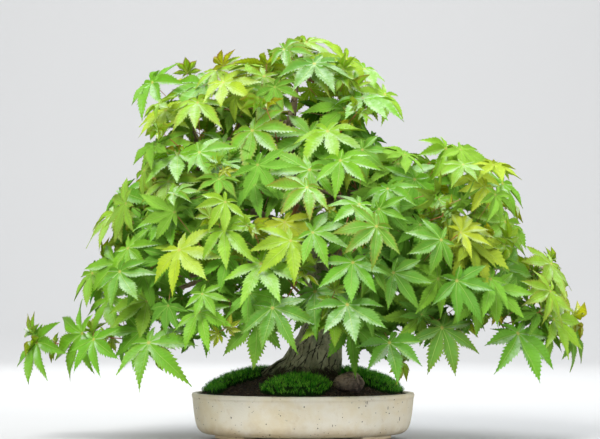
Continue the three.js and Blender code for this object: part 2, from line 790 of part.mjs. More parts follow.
/** One shoot: its twig with the leaves that clear everything placed before them. */
function leafyShoot(shoot, number) {
  const count = SHOOTS[number][4];
  let grown = shoot.twig.solid;
  for (let leaf = 0; leaf < count; leaf++)
    for (let attempt = 0; attempt < TRIES; attempt++) {
      const place = leafPlace(shoot, number, leaf, count, attempt);
      if (!place) continue;
      const [flat, stem] = [blade(place), stalk(place)];
      if (!clearing.clears(number, flat) || !clearing.clears(number, stem, true)) continue;
      const joined = grown.add(leafSkin(place)).simplify(FINEST);
      if (shortestEdge(joined) < SHORTEST_EDGE) continue;
      clearing.add(number, flat);
      clearing.add(number, stem, true);
      grown = joined;
      break;
    }
  return grown;
}

const leafy = shoots.map(leafyShoot);

// ---------------------------------------------------------------- assembly

const tree = new THREE.Group();

function place(name, solid, material) {
  const mesh = new THREE.Mesh(toGeometry(solid), material);
  mesh.name = name;
  tree.add(mesh);
}

const soilTop = soilFilling(CLEARANCE);
const meshSheets = { drainage_mesh_left: -DRAIN_X, drainage_mesh_right: DRAIN_X };
const meshRoom = Object.values(meshSheets).map((x) =>
  toSolid(
    new THREE.BoxGeometry(MESH_SIDE + 1, MESH_SIDE + 1, 2 * (MESH_THICK + CLEARANCE)).translate(x, 0, MESH_Z),
  ),
);
const inSoil = unite([trunkAndRoots(CLEARANCE), stone(CLEARANCE), ...meshRoom]);
// The room over the soil, clear of the pot's lip, that moss may fill.
const insideLip = ovalTurned([
  [0, SOIL_EDGE_Z - 10],
  [INSIDE - 1, SOIL_EDGE_Z - 10],
  [INSIDE - 1, SOIL_EDGE_Z + 50],
  [0, SOIL_EDGE_Z + 50],
]);

place("pot", pot(), FINISHES.glaze);
for (const [name, x] of Object.entries(meshSheets)) place(name, drainageMesh(x), FINISHES.plastic);
place("soil", soilFilling(0).subtract(inSoil), FINISHES.soil);
for (const [name, sizes] of Object.entries(MOSS))
  place(name, mossCushion(sizes).intersect(insideLip).subtract(soilTop).subtract(inSoil), FINISHES.moss);
place("stone", stone(0), FINISHES.stone);
place("trunk_and_branches", wood, FINISHES.bark);
leafy.forEach((solid, i) => place(`shoot_${String(i + 1).padStart(2, "0")}`, solid, FINISHES.leaf));

export default tree;
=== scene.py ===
"""A bonsai maple in an oval pot: fine leaves, bark, moss, soil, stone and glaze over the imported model."""

from __future__ import annotations

import logging
import math
import random
from dataclasses import dataclass, field
from enum import Enum
from typing import Iterable, Sequence

import bmesh
import bpy
import numpy as np
from bpy.types import ID, Material, Mesh, Node, NodeOutputs, NodeSocket, NodeTree, Object
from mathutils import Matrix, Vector, noise
from mathutils.bvhtree import BVHTree
from mathutils.kdtree import KDTree


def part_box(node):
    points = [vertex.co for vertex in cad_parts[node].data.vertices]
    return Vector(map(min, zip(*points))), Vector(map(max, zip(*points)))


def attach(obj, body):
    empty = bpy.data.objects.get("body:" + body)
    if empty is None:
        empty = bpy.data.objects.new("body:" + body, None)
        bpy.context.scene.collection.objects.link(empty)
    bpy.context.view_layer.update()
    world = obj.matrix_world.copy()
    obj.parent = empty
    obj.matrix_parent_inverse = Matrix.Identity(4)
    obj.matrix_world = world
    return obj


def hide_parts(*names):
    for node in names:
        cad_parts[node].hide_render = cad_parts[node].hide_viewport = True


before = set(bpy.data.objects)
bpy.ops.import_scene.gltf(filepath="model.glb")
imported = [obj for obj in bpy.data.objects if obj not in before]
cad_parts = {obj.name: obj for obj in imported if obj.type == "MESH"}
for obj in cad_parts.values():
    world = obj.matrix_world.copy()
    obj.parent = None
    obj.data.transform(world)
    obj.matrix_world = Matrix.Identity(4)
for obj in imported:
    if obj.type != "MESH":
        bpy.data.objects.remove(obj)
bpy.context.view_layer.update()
ROOT = "root"
MM = 0.001
WELD = 2e-5
DOWN = Vector((0.0, 0.0, -1.0))
DRY_ROOT = (0.1, 1.0, 0.0)

LOG = logging.getLogger("bonsai")

Pair = tuple[float, float]
Colour = tuple[float, float, float]
Array = np.ndarray


def hashed(*numbers: int) -> random.Random:
    """A seeded source of random numbers of its own for a numbered thing.

    Args:
        *numbers: The thing's numbers.

    Returns:
        The source.
    """
    seed = 0
    for number in numbers:
        seed = (seed * 1000003 + number + 17) % (2**31)
    return random.Random(seed)


def unit(vector: Array) -> Array:
    """A vector, or each row of an array of them, at length one."""
    length = np.linalg.norm(vector, axis=-1, keepdims=True)
    return vector / np.maximum(length, 1e-12)


def smooth(low: float, high: float, value: Array | float) -> Array:
    """A soft step from 0 at low to 1 at high."""
    share = np.clip((np.asarray(value, float) - low) / (high - low), 0.0, 1.0)
    return share * share * (3 - 2 * share)


def circle(count: int) -> Array:
    """Turns in radians that lie evenly round a circle."""
    return np.arange(count) * 2 * math.pi / count


def noise_at(points: Array, scale: float, octaves: int = 3, seed: float = 0.0) -> Array:
    """Fractal noise from about -1 to 1 at each point, with its largest lumps as wide as scale."""
    moved = points / scale + seed
    return np.array([noise.fractal(Vector(p), 1.0, 2.0, octaves) for p in moved])


# ---- shapes


@dataclass
class Shape:
    """A mesh in the making: points, faces and a number or three for each point."""

    points: Array
    faces: list[Array]
    marks: dict[str, Array] = field(default_factory=dict)

    @staticmethod
    def joined(shapes: Sequence[Shape]) -> Shape:
        """Several shapes as one.

        Args:
            shapes: The shapes.

        Returns:
            The one shape, with the marks that the first one has.
        """
        offset = 0
        faces: list[Array] = []
        for shape in shapes:
            faces += [f + offset for f in shape.faces if len(f)]
            offset += len(shape.points)
        marks = {k: np.concatenate([s.marks[k] for s in shapes]) for k in shapes[0].marks}
        return Shape(np.concatenate([s.points for s in shapes]), faces, marks)

    @staticmethod
    def grid(rings: Array, capped: bool = False) -> Shape:
        """A skin over closed rings of points.

        Args:
            rings: Array of ring, point, coordinate.
            capped: Whether the first and last ring are filled.

        Returns:
            The skin, its faces outward where rings run anticlockwise seen from the last one.
        """
        count, around = rings.shape[:2]
        i, j = np.meshgrid(np.arange(count - 1), np.arange(around), indexing="ij")
        k = (j + 1) % around
        quads = np.stack([i * around + j, i * around + k, (i + 1) * around + k, (i + 1) * around + j], -1)
        faces = [quads.reshape(-1, 4)]
        if capped:
            faces.append(np.arange(around)[::-1][None])
            faces.append((count - 1) * around + np.arange(around)[None])
        return Shape(rings.reshape(-1, 3), faces)

    @staticmethod
    def tube(path: Array, halves: Array, sides: int) -> Shape:
        """A round tube with closed ends.

        Args:
            path: Rows of x, y, z along its middle.
            halves: Radius at each row.
            sides: Corners of its section.

        Returns:
            The tube, with a mark "run" from 0 at its start to 1 at its end.
        """
        tangents = unit(np.gradient(path, axis=0))
        normal = np.cross(tangents[0], (0.31, 0.17, 0.93))
        rings = []
        turns = circle(sides)
        for point, tangent, half in zip(path, tangents, halves):
            normal = unit(normal - np.dot(normal, tangent) * tangent)
            side = np.cross(tangent, normal)
            rings.append(point + half * (np.outer(np.cos(turns), normal) + np.outer(np.sin(turns), side)))
        shape = Shape.grid(np.array(rings), capped=True)
        shape.marks["run"] = np.repeat(np.linspace(0, 1, len(path)), sides)
        return shape

    def marked(self, mark: str, value: tuple[float, float, float]) -> Shape:
        """This shape with one mark alone, the same at every point."""
        return Shape(self.points, self.faces, {mark: np.tile(value, (len(self.points), 1))})

    def mesh(self, name: str) -> Mesh:
        """This shape as a mesh with smooth faces.

        Args:
            name: The mesh's name.

        Returns:
            The mesh, with the shape's marks as attributes.
        """
        mesh = bpy.data.meshes.new(name)
        mesh.vertices.add(len(self.points))
        mesh.vertices.foreach_set("co", self.points.astype(np.float32).ravel())
        corners = np.concatenate([f.ravel() for f in self.faces])
        sizes = np.concatenate([np.full(len(f), f.shape[1]) for f in self.faces])
        mesh.loops.add(len(corners))
        mesh.loops.foreach_set("vertex_index", corners.astype(np.int32))
        mesh.polygons.add(len(sizes))
        mesh.polygons.foreach_set("loop_start", (np.cumsum(sizes) - sizes).astype(np.int32))
        mesh.update(calc_edges=True)
        mesh.validate()
        for mark, values in self.marks.items():
            write_mark(mesh, mark, values)
        mesh.shade_smooth()
        return mesh


def write_mark(mesh: Mesh, mark: str, values: Array) -> None:
    """Gives each point of a mesh a number, or three.

    Args:
        mesh: The mesh.
        mark: What the numbers are called.
        values: One number or one row a point.
    """
    kind, key = ("FLOAT_VECTOR", "vector") if values.ndim == 2 else ("FLOAT", "value")
    attribute = mesh.attributes.new(mark, kind, "POINT")
    attribute.data.foreach_set(key, values.astype(np.float32).ravel())


def rows_of(items: bpy.types.bpy_prop_collection, key: str, width: int, kind: type) -> Array:
    """The numbers that each item of a mesh's list holds.

    Args:
        items: The list.
        key: What the numbers are called.
        width: How many an item has.
        kind: Their type.

    Returns:
        One row an item.
    """
    values = np.empty(len(items) * width, kind)
    items.foreach_get(key, values)
    return values.reshape(-1, width)


def points_of(mesh: Mesh) -> Array:
    """The points of a mesh as rows of x, y, z."""
    return rows_of(mesh.vertices, "co", 3, np.float32).astype(float)


def normals_of(mesh: Mesh) -> Array:
    """The direction away from a mesh at each of its points."""
    return rows_of(mesh.vertex_normals, "vector", 3, np.float32).astype(float)


def edges_of(mesh: Mesh) -> Array:
    """The edges of a mesh as rows of two point numbers."""
    return rows_of(mesh.edges, "vertices", 2, np.int32)


def triangles_of(mesh: Mesh) -> Array:
    """The triangles of a mesh as rows of three point numbers."""
    mesh.calc_loop_triangles()
    return rows_of(mesh.loop_triangles, "vertices", 3, np.int32)


def move_points(mesh: Mesh, points: Array) -> None:
    """Puts a mesh's points in new places."""
    mesh.vertices.foreach_set("co", points.astype(np.float32).ravel())
    mesh.update()


def welded(node: str) -> tuple[Array, Array]:
    """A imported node's mesh with its doubles merged.

    Args:
        node: The node's name.

    Returns:
        Its points and its triangles.
    """
    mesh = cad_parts[node].data
    points = points_of(mesh)
    cells = np.round(points / WELD).astype(int)
    _, first, merged = np.unique(cells, axis=0, return_index=True, return_inverse=True)
    triangles = merged.reshape(-1)[triangles_of(mesh)]
    a, b, c = triangles.T
    return points[first], triangles[(a != b) & (b != c) & (a != c)]


def tree_of(points: Array, triangles: Array) -> BVHTree:
    """A search tree over triangles."""
    return BVHTree.FromPolygons(points.tolist(), triangles.tolist())


def placed(name: str, data: ID) -> Object:
    """A new object in the scene.

    Args:
        name: Its name.
        data: The mesh, lamp or camera that it shows.

    Returns:
        The object.
    """
    made = bpy.data.objects.new(name, data)
    bpy.context.scene.collection.objects.link(made)
    return made


def piece(name: str, mesh: Mesh, finish: Finish, slot: str, stands_for: Iterable[str] = ()) -> None:
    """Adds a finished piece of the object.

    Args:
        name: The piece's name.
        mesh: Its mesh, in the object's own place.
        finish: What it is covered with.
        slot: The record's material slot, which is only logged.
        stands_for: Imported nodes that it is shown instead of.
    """
    made = placed(name, mesh)
    mesh.materials.clear()
    mesh.materials.append(finish.material())
    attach(made, ROOT)
    if stands_for:
        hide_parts(*stands_for)
    LOG.info("%s: %d points, %s", name, len(mesh.vertices), slot)


def applied(mesh: Mesh, kind: str, **settings: object) -> Mesh:
    """A mesh after one modifier.

    Args:
        mesh: The mesh to start from.
        kind: The modifier's type.
        **settings: What to set on the modifier.

    Returns:
        The new mesh.
    """
    helper = placed("helper", mesh)
    modifier = helper.modifiers.new(kind.lower(), kind)
    for key, value in settings.items():
        setattr(modifier, key, value)
    bpy.context.view_layer.update()
    graph = bpy.context.evaluated_depsgraph_get()
    result = bpy.data.meshes.new_from_object(helper.evaluated_get(graph))
    bpy.data.objects.remove(helper)
    return result


def relaxed(points: Array, edges: Array, rounds: int) -> Array:
    """Points pulled towards their neighbours and pushed back, so that thin parts keep their thickness.

    Args:
        points: Rows of x, y, z.
        edges: Rows of two point numbers.
        rounds: How many times.

    Returns:
        The moved points.
    """
    pull, push = 0.5, -0.52
    count = np.maximum(np.bincount(edges.ravel(), minlength=len(points)), 1)[:, None]
    for step in (pull, push) * rounds:
        total = np.zeros_like(points)
        for axis in range(3):
            total[:, axis] = np.bincount(edges[:, 0], points[edges[:, 1], axis], len(points))
            total[:, axis] += np.bincount(edges[:, 1], points[edges[:, 0], axis], len(points))
        points = points + step * (total / count - points)
    return points


# ---- shader parts


class Recipe:
    """A node tree that is filled by short calls."""

    def __init__(self, tree: NodeTree) -> None:
        """Starts on a tree."""
        self.tree = tree

    def put(self, socket: NodeSocket, value: object) -> None:
        """Gives an input a source, or a value of its own.

        Args:
            socket: The input.
            value: An output socket, a number, a vector, or a colour of three numbers.
        """
        if isinstance(value, NodeSocket):
            self.tree.links.new(value, socket)
        else:
            socket.default_value = (*value, 1.0) if socket.type == "RGBA" else value

    def node(self, kind: str, inputs: dict[str | int, object] | None = None, **settings: object) -> Node:
        """Adds a node.

        Args:
            kind: Its type.
            inputs: Values or output sockets for its inputs, by name or number.
            **settings: What to set on the node itself.

        Returns:
            The node.
        """
        made = self.tree.nodes.new(kind)
        for key, value in settings.items():
            setattr(made, key, value)
        for key, value in (inputs or {}).items():
            self.put(made.inputs[key], value)
        return made

    def maths(self, operation: str, first: object, second: object = 0.0, clamp: bool = False) -> NodeSocket:
        """The result of a sum."""
        inputs = {0: first, 1: second}
        return self.node("ShaderNodeMath", inputs, operation=operation, use_clamp=clamp).outputs[0]

    def times(self, first: object, second: object, clamp: bool = False) -> NodeSocket:
        """One value times another."""
        return self.maths("MULTIPLY", first, second, clamp)

    def plus(self, first: object, second: object, clamp: bool = False) -> NodeSocket:
        """One value and another."""
        return self.maths("ADD", first, second, clamp)

    def minus(self, first: object, second: object, clamp: bool = False) -> NodeSocket:
        """One value less another."""
        return self.maths("SUBTRACT", first, second, clamp)

    def ramp(
        self, value: object, low: object, high: object, first: float = 0.0, last: float = 1.0
    ) -> NodeSocket:
        """A soft step from first at low to last at high, where high is the greater."""
        inputs = {"Value": value, "From Min": low, "From Max": high, "To Min": first, "To Max": last}
        return self.node("ShaderNodeMapRange", inputs, interpolation_type="SMOOTHSTEP").outputs["Result"]

    def stepped(self, value: object, low: float, high: float) -> NodeSocket:
        """A soft step from 0 at low to 1 at high, or down where low is the greater."""
        return self.ramp(value, low, high) if low < high else self.ramp(value, high, low, 1.0, 0.0)

    def blend(self, share: object, first: object, second: object, kind: str = "MIX") -> NodeSocket:
        """Two colours mixed by a share of the second."""
        inputs = {0: share, 6: first, 7: second}
        return self.node("ShaderNodeMix", inputs, data_type="RGBA", blend_type=kind).outputs[2]

    def washed(
        self, colour: object, mask: object, share: float, wash: object, kind: str = "MIX"
    ) -> NodeSocket:
        """A colour under a share of another one, where a mask asks for it."""
        return self.blend(self.times(mask, share), colour, wash, kind)

    def lumps(self, place: object, scale: object, detail: float, distortion: float) -> NodeSocket:
        """Noise from 0 to 1, with its scale in lumps a metre."""
        inputs = {"Vector": place, "Scale": scale, "Detail": detail, "Distortion": distortion}
        return self.node("ShaderNodeTexNoise", inputs).outputs["Fac"]

    def mark(self, name: str) -> Node:
        """A mesh attribute's node."""
        return self.node("ShaderNodeAttribute", attribute_name=name)

    def parts(self, vector: object) -> list[NodeSocket]:
        """The three numbers of a vector."""
        return list(self.node("ShaderNodeSeparateXYZ", {0: vector}).outputs)

    def place(self) -> NodeSocket:
        """The object's own coordinates, in metres."""
        return self.node("ShaderNodeTexCoord").outputs["Object"]

    def shared(self, effect: Effect, **inputs: object) -> NodeSocket:
        """The mask of a shared effect, placed with its own values."""
        return self.node("ShaderNodeGroup", inputs, node_tree=effect.tree()).outputs["Mask"]

    def mottle(self, place: object, scale: float, low: float, high: float) -> NodeSocket:
        """Blotches: 0 where their noise is under low, 1 where it is over high."""
        return self.shared(Effect.MOTTLE, Place=place, Scale=scale, Low=low, High=high)

    def specks(self, place: object, scale: float, size: float, share: float) -> NodeSocket:
        """Dots, of which a share is there."""
        return self.shared(Effect.SPECKS, Place=place, Scale=scale, Size=size, Share=share)

    def grain(self, place: object, scale: float, roughness: float) -> NodeSocket:
        """Fine unevenness."""
        return self.shared(Effect.GRAIN, Place=place, Scale=scale, Roughness=roughness)

    def level(self, place: object, low: float, high: float, ragged: float) -> NodeSocket:
        """1 under the height low, 0 over high, with a ragged edge."""
        return self.shared(Effect.LEVEL, Place=place, Low=low, High=high, Ragged=ragged)


class Effect(Enum):
    """Effects that several finishes share, each a node group: its name and its numbers' names."""

    MOTTLE = ("mottle", "Scale", "Low", "High")
    SPECKS = ("specks", "Scale", "Size", "Share")
    GRAIN = ("grain", "Scale", "Roughness")
    LEVEL = ("level", "Low", "High", "Ragged")

    def tree(self) -> NodeTree:
        """Builds the effect's node group, or finds it where it is built already.

        Returns:
            The group, which puts out one mask.
        """
        name, *numbers = self.value
        tree = bpy.data.node_groups.get(name)
        if tree:
            return tree
        tree = bpy.data.node_groups.new(name, "ShaderNodeTree")
        tree.interface.new_socket("Place", in_out="INPUT", socket_type="NodeSocketVector")
        for number in numbers:
            tree.interface.new_socket(number, in_out="INPUT", socket_type="NodeSocketFloat")
        tree.interface.new_socket("Mask", in_out="OUTPUT", socket_type="NodeSocketFloat")
        recipe = Recipe(tree)
        inputs = recipe.node("NodeGroupInput").outputs
        fillers = (self._mottle, self._specks, self._grain, self._level)
        filler = dict(zip(Effect, fillers))[self]
        recipe.node("NodeGroupOutput", {"Mask": filler(recipe, inputs)})
        return tree

    @staticmethod
    def _mottle(recipe: Recipe, inputs: NodeOutputs) -> NodeSocket:
        """Soft blotches in two sizes.

        Args:
            recipe: The group's recipe.
            inputs: The group's inputs.

        Returns:
            The mask.
        """
        finer, broad_share, fine_share = 4.3, 0.65, 0.35
        broad = recipe.lumps(inputs["Place"], inputs["Scale"], 2.0, 0.4)
        fine = recipe.lumps(inputs["Place"], recipe.times(inputs["Scale"], finer), 4.0, 0.2)
        both = recipe.plus(recipe.times(broad, broad_share), recipe.times(fine, fine_share))
        return recipe.ramp(both, inputs["Low"], inputs["High"])

    @staticmethod
    def _specks(recipe: Recipe, inputs: NodeOutputs) -> NodeSocket:
        """Small dots, of which a share is there.

        Args:
            recipe: The group's recipe.
            inputs: The group's inputs.

        Returns:
            The mask.
        """
        cells = recipe.node("ShaderNodeTexVoronoi", {"Vector": inputs["Place"], "Scale": inputs["Scale"]})
        lot = recipe.parts(cells.outputs["Color"])
        present = recipe.maths("LESS_THAN", lot[0], inputs["Share"])
        size = recipe.times(inputs["Size"], recipe.plus(0.3, recipe.maths("POWER", lot[1], 2.5)))
        near = recipe.minus(1.0, recipe.maths("DIVIDE", cells.outputs["Distance"], size), clamp=True)
        return recipe.times(present, recipe.stepped(near, 0.0, 0.35))

    @staticmethod
    def _grain(recipe: Recipe, inputs: NodeOutputs) -> NodeSocket:
        """Fine unevenness for bumps."""
        wanted = {"Vector": inputs["Place"], "Scale": inputs["Scale"], "Roughness": inputs["Roughness"]}
        return recipe.node("ShaderNodeTexNoise", {**wanted, "Detail": 5.0}).outputs["Fac"]

    @staticmethod
    def _level(recipe: Recipe, inputs: NodeOutputs) -> NodeSocket:
        """A height band with a ragged edge: 1 at and under Low, 0 over High.

        Args:
            recipe: The group's recipe.
            inputs: The group's inputs.

        Returns:
            The mask.
        """
        height = recipe.parts(inputs["Place"])[2]
        wander = recipe.minus(recipe.lumps(inputs["Place"], 55.0, 4.0, 0.3), 0.5)
        moved = recipe.plus(height, recipe.times(wander, inputs["Ragged"]))
        return recipe.ramp(moved, inputs["Low"], inputs["High"], 1.0, 0.0)


# ---- finishes


class Coat(Recipe):
    """The recipe of one material, with the shader that it feeds."""

    def __init__(self, tree: NodeTree) -> None:
        """Starts on a material's tree."""
        super().__init__(tree)
        self.shader = tree.nodes["Principled BSDF"]

    def feed(self, name: str, value: object) -> None:
        """Gives one of the shader's sockets a source or a value."""
        self.put(self.shader.inputs[name], value)

    def bump(self, height: object, depth: float) -> None:
        """Bumps the surface by a height from 0 to 1 that stands for depth metres."""
        made = self.node("ShaderNodeBump", {"Height": height, "Distance": depth, "Strength": 1.0})
        self.feed("Normal", made.outputs[0])


@dataclass(frozen=True)
class Finish:
    """What a surface is made of: a name, its least roughness and how much it shines."""

    name: str = "finish"
    rough: float = 0.6
    shine: float = 0.4

    def material(self) -> Material:
        """Builds the material, or finds it where it is built already.

        Returns:
            The material.
        """
        made = bpy.data.materials.get(self.name)
        if made:
            return made
        made = bpy.data.materials.new(self.name)
        made.use_nodes = True
        recipe = Coat(made.node_tree)
        recipe.feed("Roughness", self.rough)
        recipe.feed("Specular IOR Level", self.shine)
        self.dress(recipe)
        return made

    def dress(self, recipe: Coat) -> None:
        """Feeds the shader; each finish has its own way."""
        raise NotImplementedError


@dataclass(frozen=True)
class Glaze(Finish):
    """Matt cream stoneware glaze: mottled, stained at the foot, with iron specks, short scratches and a
    painted shadow line in the groove under the lip.
    """

    name: str = "cream_glaze"
    rough: float = 0.42
    shine: float = 0.42
    cream: Colour = (0.70, 0.615, 0.440)
    pale: Colour = (0.755, 0.71, 0.605)
    stain: Colour = (0.46, 0.32, 0.14)
    iron: Colour = (0.05, 0.032, 0.018)
    warm: Colour = (0.78, 0.62, 0.38)
    dust_and_shade: Colour = (0.34, 0.26, 0.15)
    blot: Colour = (0.50, 0.37, 0.20)

    def dress(self, recipe: Coat) -> None:
        """Feeds colour, roughness and bump.

        Args:
            recipe: The material's recipe.
        """
        place = recipe.place()
        broad = recipe.mottle(place, 22.0, 0.34, 0.62)
        colour = recipe.blend(broad, self.cream, self.pale)
        ends = recipe.stepped(recipe.maths("ABSOLUTE", recipe.parts(place)[0]), 0.07, 0.135)
        colour = recipe.washed(colour, ends, 0.25, self.warm)
        foot = recipe.level(place, 0.004, 0.024, 0.03)
        colour = recipe.washed(colour, foot, 0.62, self.stain)
        rim = recipe.mottle(place, 90.0, 0.52, 0.72)
        height = recipe.parts(place)[2]
        # painted shade: a darker line in the groove under the lip, made patchy by the blotch mottle
        groove = recipe.times(recipe.stepped(height, 0.0470, 0.0494), recipe.stepped(height, 0.0508, 0.0499))
        groove_shade = recipe.times(recipe.plus(rim, 0.3, clamp=True), recipe.times(groove, 0.3))
        colour = recipe.blend(groove_shade, colour, self.dust_and_shade)
        colour = recipe.washed(colour, rim, 0.22, self.blot)
        marks = recipe.specks(place, 260.0, 0.22, 0.45)
        large = recipe.specks(place, 120.0, 0.11, 1.0)
        marks = recipe.maths("MAXIMUM", marks, large)
        for turn, share in ((0.5, 0.75), (-0.35, 0.6)):
            wanted = {"Vector": place, "Rotation": (0.0, turn, 0.1), "Scale": (1.0, 1.0, 0.22)}
            drawn = recipe.node("ShaderNodeMapping", wanted).outputs[0]
            cuts = recipe.specks(drawn, 165.0, 0.12, share)
            marks = recipe.maths("MAXIMUM", marks, cuts)
        colour = recipe.washed(colour, marks, 0.85, self.iron)
        recipe.feed("Base Color", colour)
        fine = recipe.grain(place, 420.0, 0.6)
        recipe.feed("Roughness", recipe.plus(self.rough, recipe.times(fine, 0.22)))
        height = recipe.minus(fine, recipe.times(marks, 0.9))
        recipe.bump(height, 0.00035)


@dataclass(frozen=True)
class MeshPlastic(Finish):
    """Black moulded plastic of the drainage squares."""

    name: str = "mesh_plastic"
    rough: float = 0.55
    shine: float = 0.45
    black: Colour = (0.012, 0.014, 0.013)
    dust_and_shade: Colour = (0.06, 0.05, 0.04)

    def dress(self, recipe: Coat) -> None:
        """Feeds colour and bump.

        Args:
            recipe: The material's recipe.
        """
        place = recipe.place()
        dust_and_shade = recipe.mottle(place, 160.0, 0.4, 0.7)
        recipe.feed("Base Color", recipe.blend(dust_and_shade, self.black, self.dust_and_shade))
        fine = recipe.grain(place, 900.0, 0.5)
        recipe.bump(fine, 0.0002)


@dataclass(frozen=True)
class Earth(Finish):
    """Dark moist potting soil, or its loose grains."""

    name: str = "crumbly_soil"
    rough: float = 0.7
    shine: float = 0.25
    dark: Colour = (0.010, 0.008, 0.007)
    light: Colour = (0.060, 0.043, 0.031)
    grit: Colour = (0.16, 0.125, 0.09)

    def dress(self, recipe: Coat) -> None:
        """Feeds colour, roughness and bump.

        Args:
            recipe: The material's recipe.
        """
        place = recipe.place()
        patches = recipe.mottle(place, 260.0, 0.35, 0.7)
        colour = recipe.blend(patches, self.dark, self.light)
        grit = recipe.specks(place, 420.0, 0.4, 0.12)
        colour = recipe.washed(colour, grit, 0.7, self.grit)
        recipe.feed("Base Color", colour)
        fine = recipe.grain(place, 700.0, 0.7)
        recipe.feed("Roughness", recipe.plus(self.rough, recipe.times(patches, 0.25)))
        recipe.bump(fine, 0.0009)


@dataclass(frozen=True)
class MossGreen(Finish):
    """Living moss: darker low in its shoots and on the cushion under them, from the stems' own colour and
    painted shade between the shoots, and bright at their tips.
    """

    name: str = "living_moss"
    rough: float = 0.6
    shine: float = 0.12
    deep: Colour = (0.008, 0.030, 0.003)
    mid: Colour = (0.018, 0.285, 0.003)
    tip: Colour = (0.44, 1.0, 0.11)
    patch: Colour = (0.075, 0.34, 0.014)

    def dress(self, recipe: Coat) -> None:
        """Feeds colour by height in the shoot and by patches.

        Args:
            recipe: The material's recipe.
        """
        place = recipe.place()
        run, tone, _ = recipe.parts(recipe.mark("moss").outputs["Vector"])
        patches = recipe.mottle(place, 75.0, 0.36, 0.64)
        upper = recipe.blend(recipe.maths("POWER", tone, 1.7), self.mid, self.tip)
        upper = recipe.washed(upper, patches, 0.45, self.patch)
        # darker towards the foot of each shoot and on the cushion: the lower stems' own colour and painted
        # shade between the shoots
        colour = recipe.blend(recipe.stepped(run, 0.2, 0.95), self.deep, upper)
        recipe.feed("Base Color", colour)
        fine = recipe.grain(place, 1500.0, 0.6)
        recipe.bump(fine, 0.0003)


@dataclass(frozen=True)
class RiverStone(Finish):
    """Weathered brown-grey stone with rusty patches, a painted highlight on its upper faces, painted shade
    low down, and dark pits.
    """

    name: str = "pitted_stone"
    rough: float = 0.72
    shine: float = 0.3
    dark: Colour = (0.060, 0.046, 0.036)
    light: Colour = (0.25, 0.197, 0.147)
    lower_shade: Colour = (0.030, 0.022, 0.022)
    rust: Colour = (0.27, 0.19, 0.12)
    top_highlight: Colour = (0.37, 0.275, 0.175)
    pit: Colour = (0.018, 0.013, 0.012)

    def dress(self, recipe: Coat) -> None:
        """Feeds colour, roughness and bump.

        Args:
            recipe: The material's recipe.
        """
        place = recipe.place()
        broad = recipe.mottle(place, 85.0, 0.36, 0.62)
        colour = recipe.blend(broad, self.dark, self.light)
        # painted shade: the stone is darkened below a ragged line at about 58 to 74 mm height
        high = recipe.level(place, 0.058, 0.074, 0.02)
        colour = recipe.washed(colour, high, 0.7, self.lower_shade)
        rust = recipe.mottle(place, 150.0, 0.52, 0.66)
        colour = recipe.washed(colour, rust, 0.55, self.rust)
        # painted highlight: faces turned upward are paled towards tan, in patches
        upward = recipe.parts(recipe.node("ShaderNodeNewGeometry").outputs["Normal"])[2]
        top_highlight = recipe.times(recipe.stepped(upward, -0.05, 0.75), recipe.stepped(broad, 0.0, 0.7))
        colour = recipe.washed(colour, top_highlight, 0.6, self.top_highlight)
        pits = recipe.specks(place, 330.0, 0.3, 0.4)
        colour = recipe.washed(colour, pits, 0.7, self.pit)
        recipe.feed("Base Color", colour)
        fine = recipe.grain(place, 520.0, 0.75)
        recipe.feed("Roughness", recipe.plus(self.rough, recipe.times(fine, 0.25)))
        recipe.bump(recipe.minus(fine, recipe.times(pits, 0.5)), 0.0009)


@dataclass(frozen=True)
class Bark(Finish):
    """Grey-olive bark with dark fissures, their darkness partly painted shade, scaly plates and a green
    foot; branches are browner.
    """

    name: str = "fissured_bark"
    rough: float = 0.72
    shine: float = 0.25
    plate: Colour = (0.208, 0.202, 0.112)
    light: Colour = (0.355, 0.352, 0.218)
    fissure: Colour = (0.014, 0.011, 0.008)
    young: Colour = (0.15, 0.105, 0.062)
    young_light: Colour = (0.20, 0.16, 0.09)
    bloom_and_sheen: Colour = (0.13, 0.15, 0.085)
    scale: Colour = (0.07, 0.06, 0.042)
    mossy: Colour = (0.05, 0.085, 0.016)

    def dress(self, recipe: Coat) -> None:
        """Feeds colour, roughness and bump from the cracks that the mesh carries.

        Args:
            recipe: The material's recipe.
        """
        place = recipe.place()
        gap, thick, moss = recipe.parts(recipe.mark("bark").outputs["Vector"])
        crack = recipe.stepped(gap, 1.05, 0.30)
        tall = recipe.node("ShaderNodeMapping", {"Vector": place, "Scale": (1.0, 1.0, 0.4)}).outputs[0]
        patches = recipe.mottle(tall, 120.0, 0.36, 0.64)
        colour = recipe.blend(patches, self.plate, self.light)
        bloom_and_sheen = recipe.mottle(place, 48.0, 0.46, 0.62)
        colour = recipe.washed(colour, bloom_and_sheen, 0.55, self.bloom_and_sheen)
        smooth_wood = recipe.blend(patches, self.young, self.young_light)
        colour = recipe.blend(recipe.stepped(thick, 0.45, 0.12), colour, smooth_wood)
        scales = recipe.specks(tall, 300.0, 0.5, 0.3)
        colour = recipe.washed(colour, scales, 0.3, self.scale)
        # the fissures are darkened almost to black: the bark's own dark cracks with painted shade in them
        colour = recipe.washed(colour, crack, 0.95, self.fissure)
        colour = recipe.washed(colour, moss, 0.8, self.mossy)
        recipe.feed("Base Color", colour)
        fine = recipe.grain(tall, 620.0, 0.7)
        recipe.feed("Roughness", recipe.plus(self.rough, recipe.times(fine, 0.25)))
        height = recipe.minus(fine, recipe.times(crack, 0.8))
        recipe.bump(height, 0.0008)


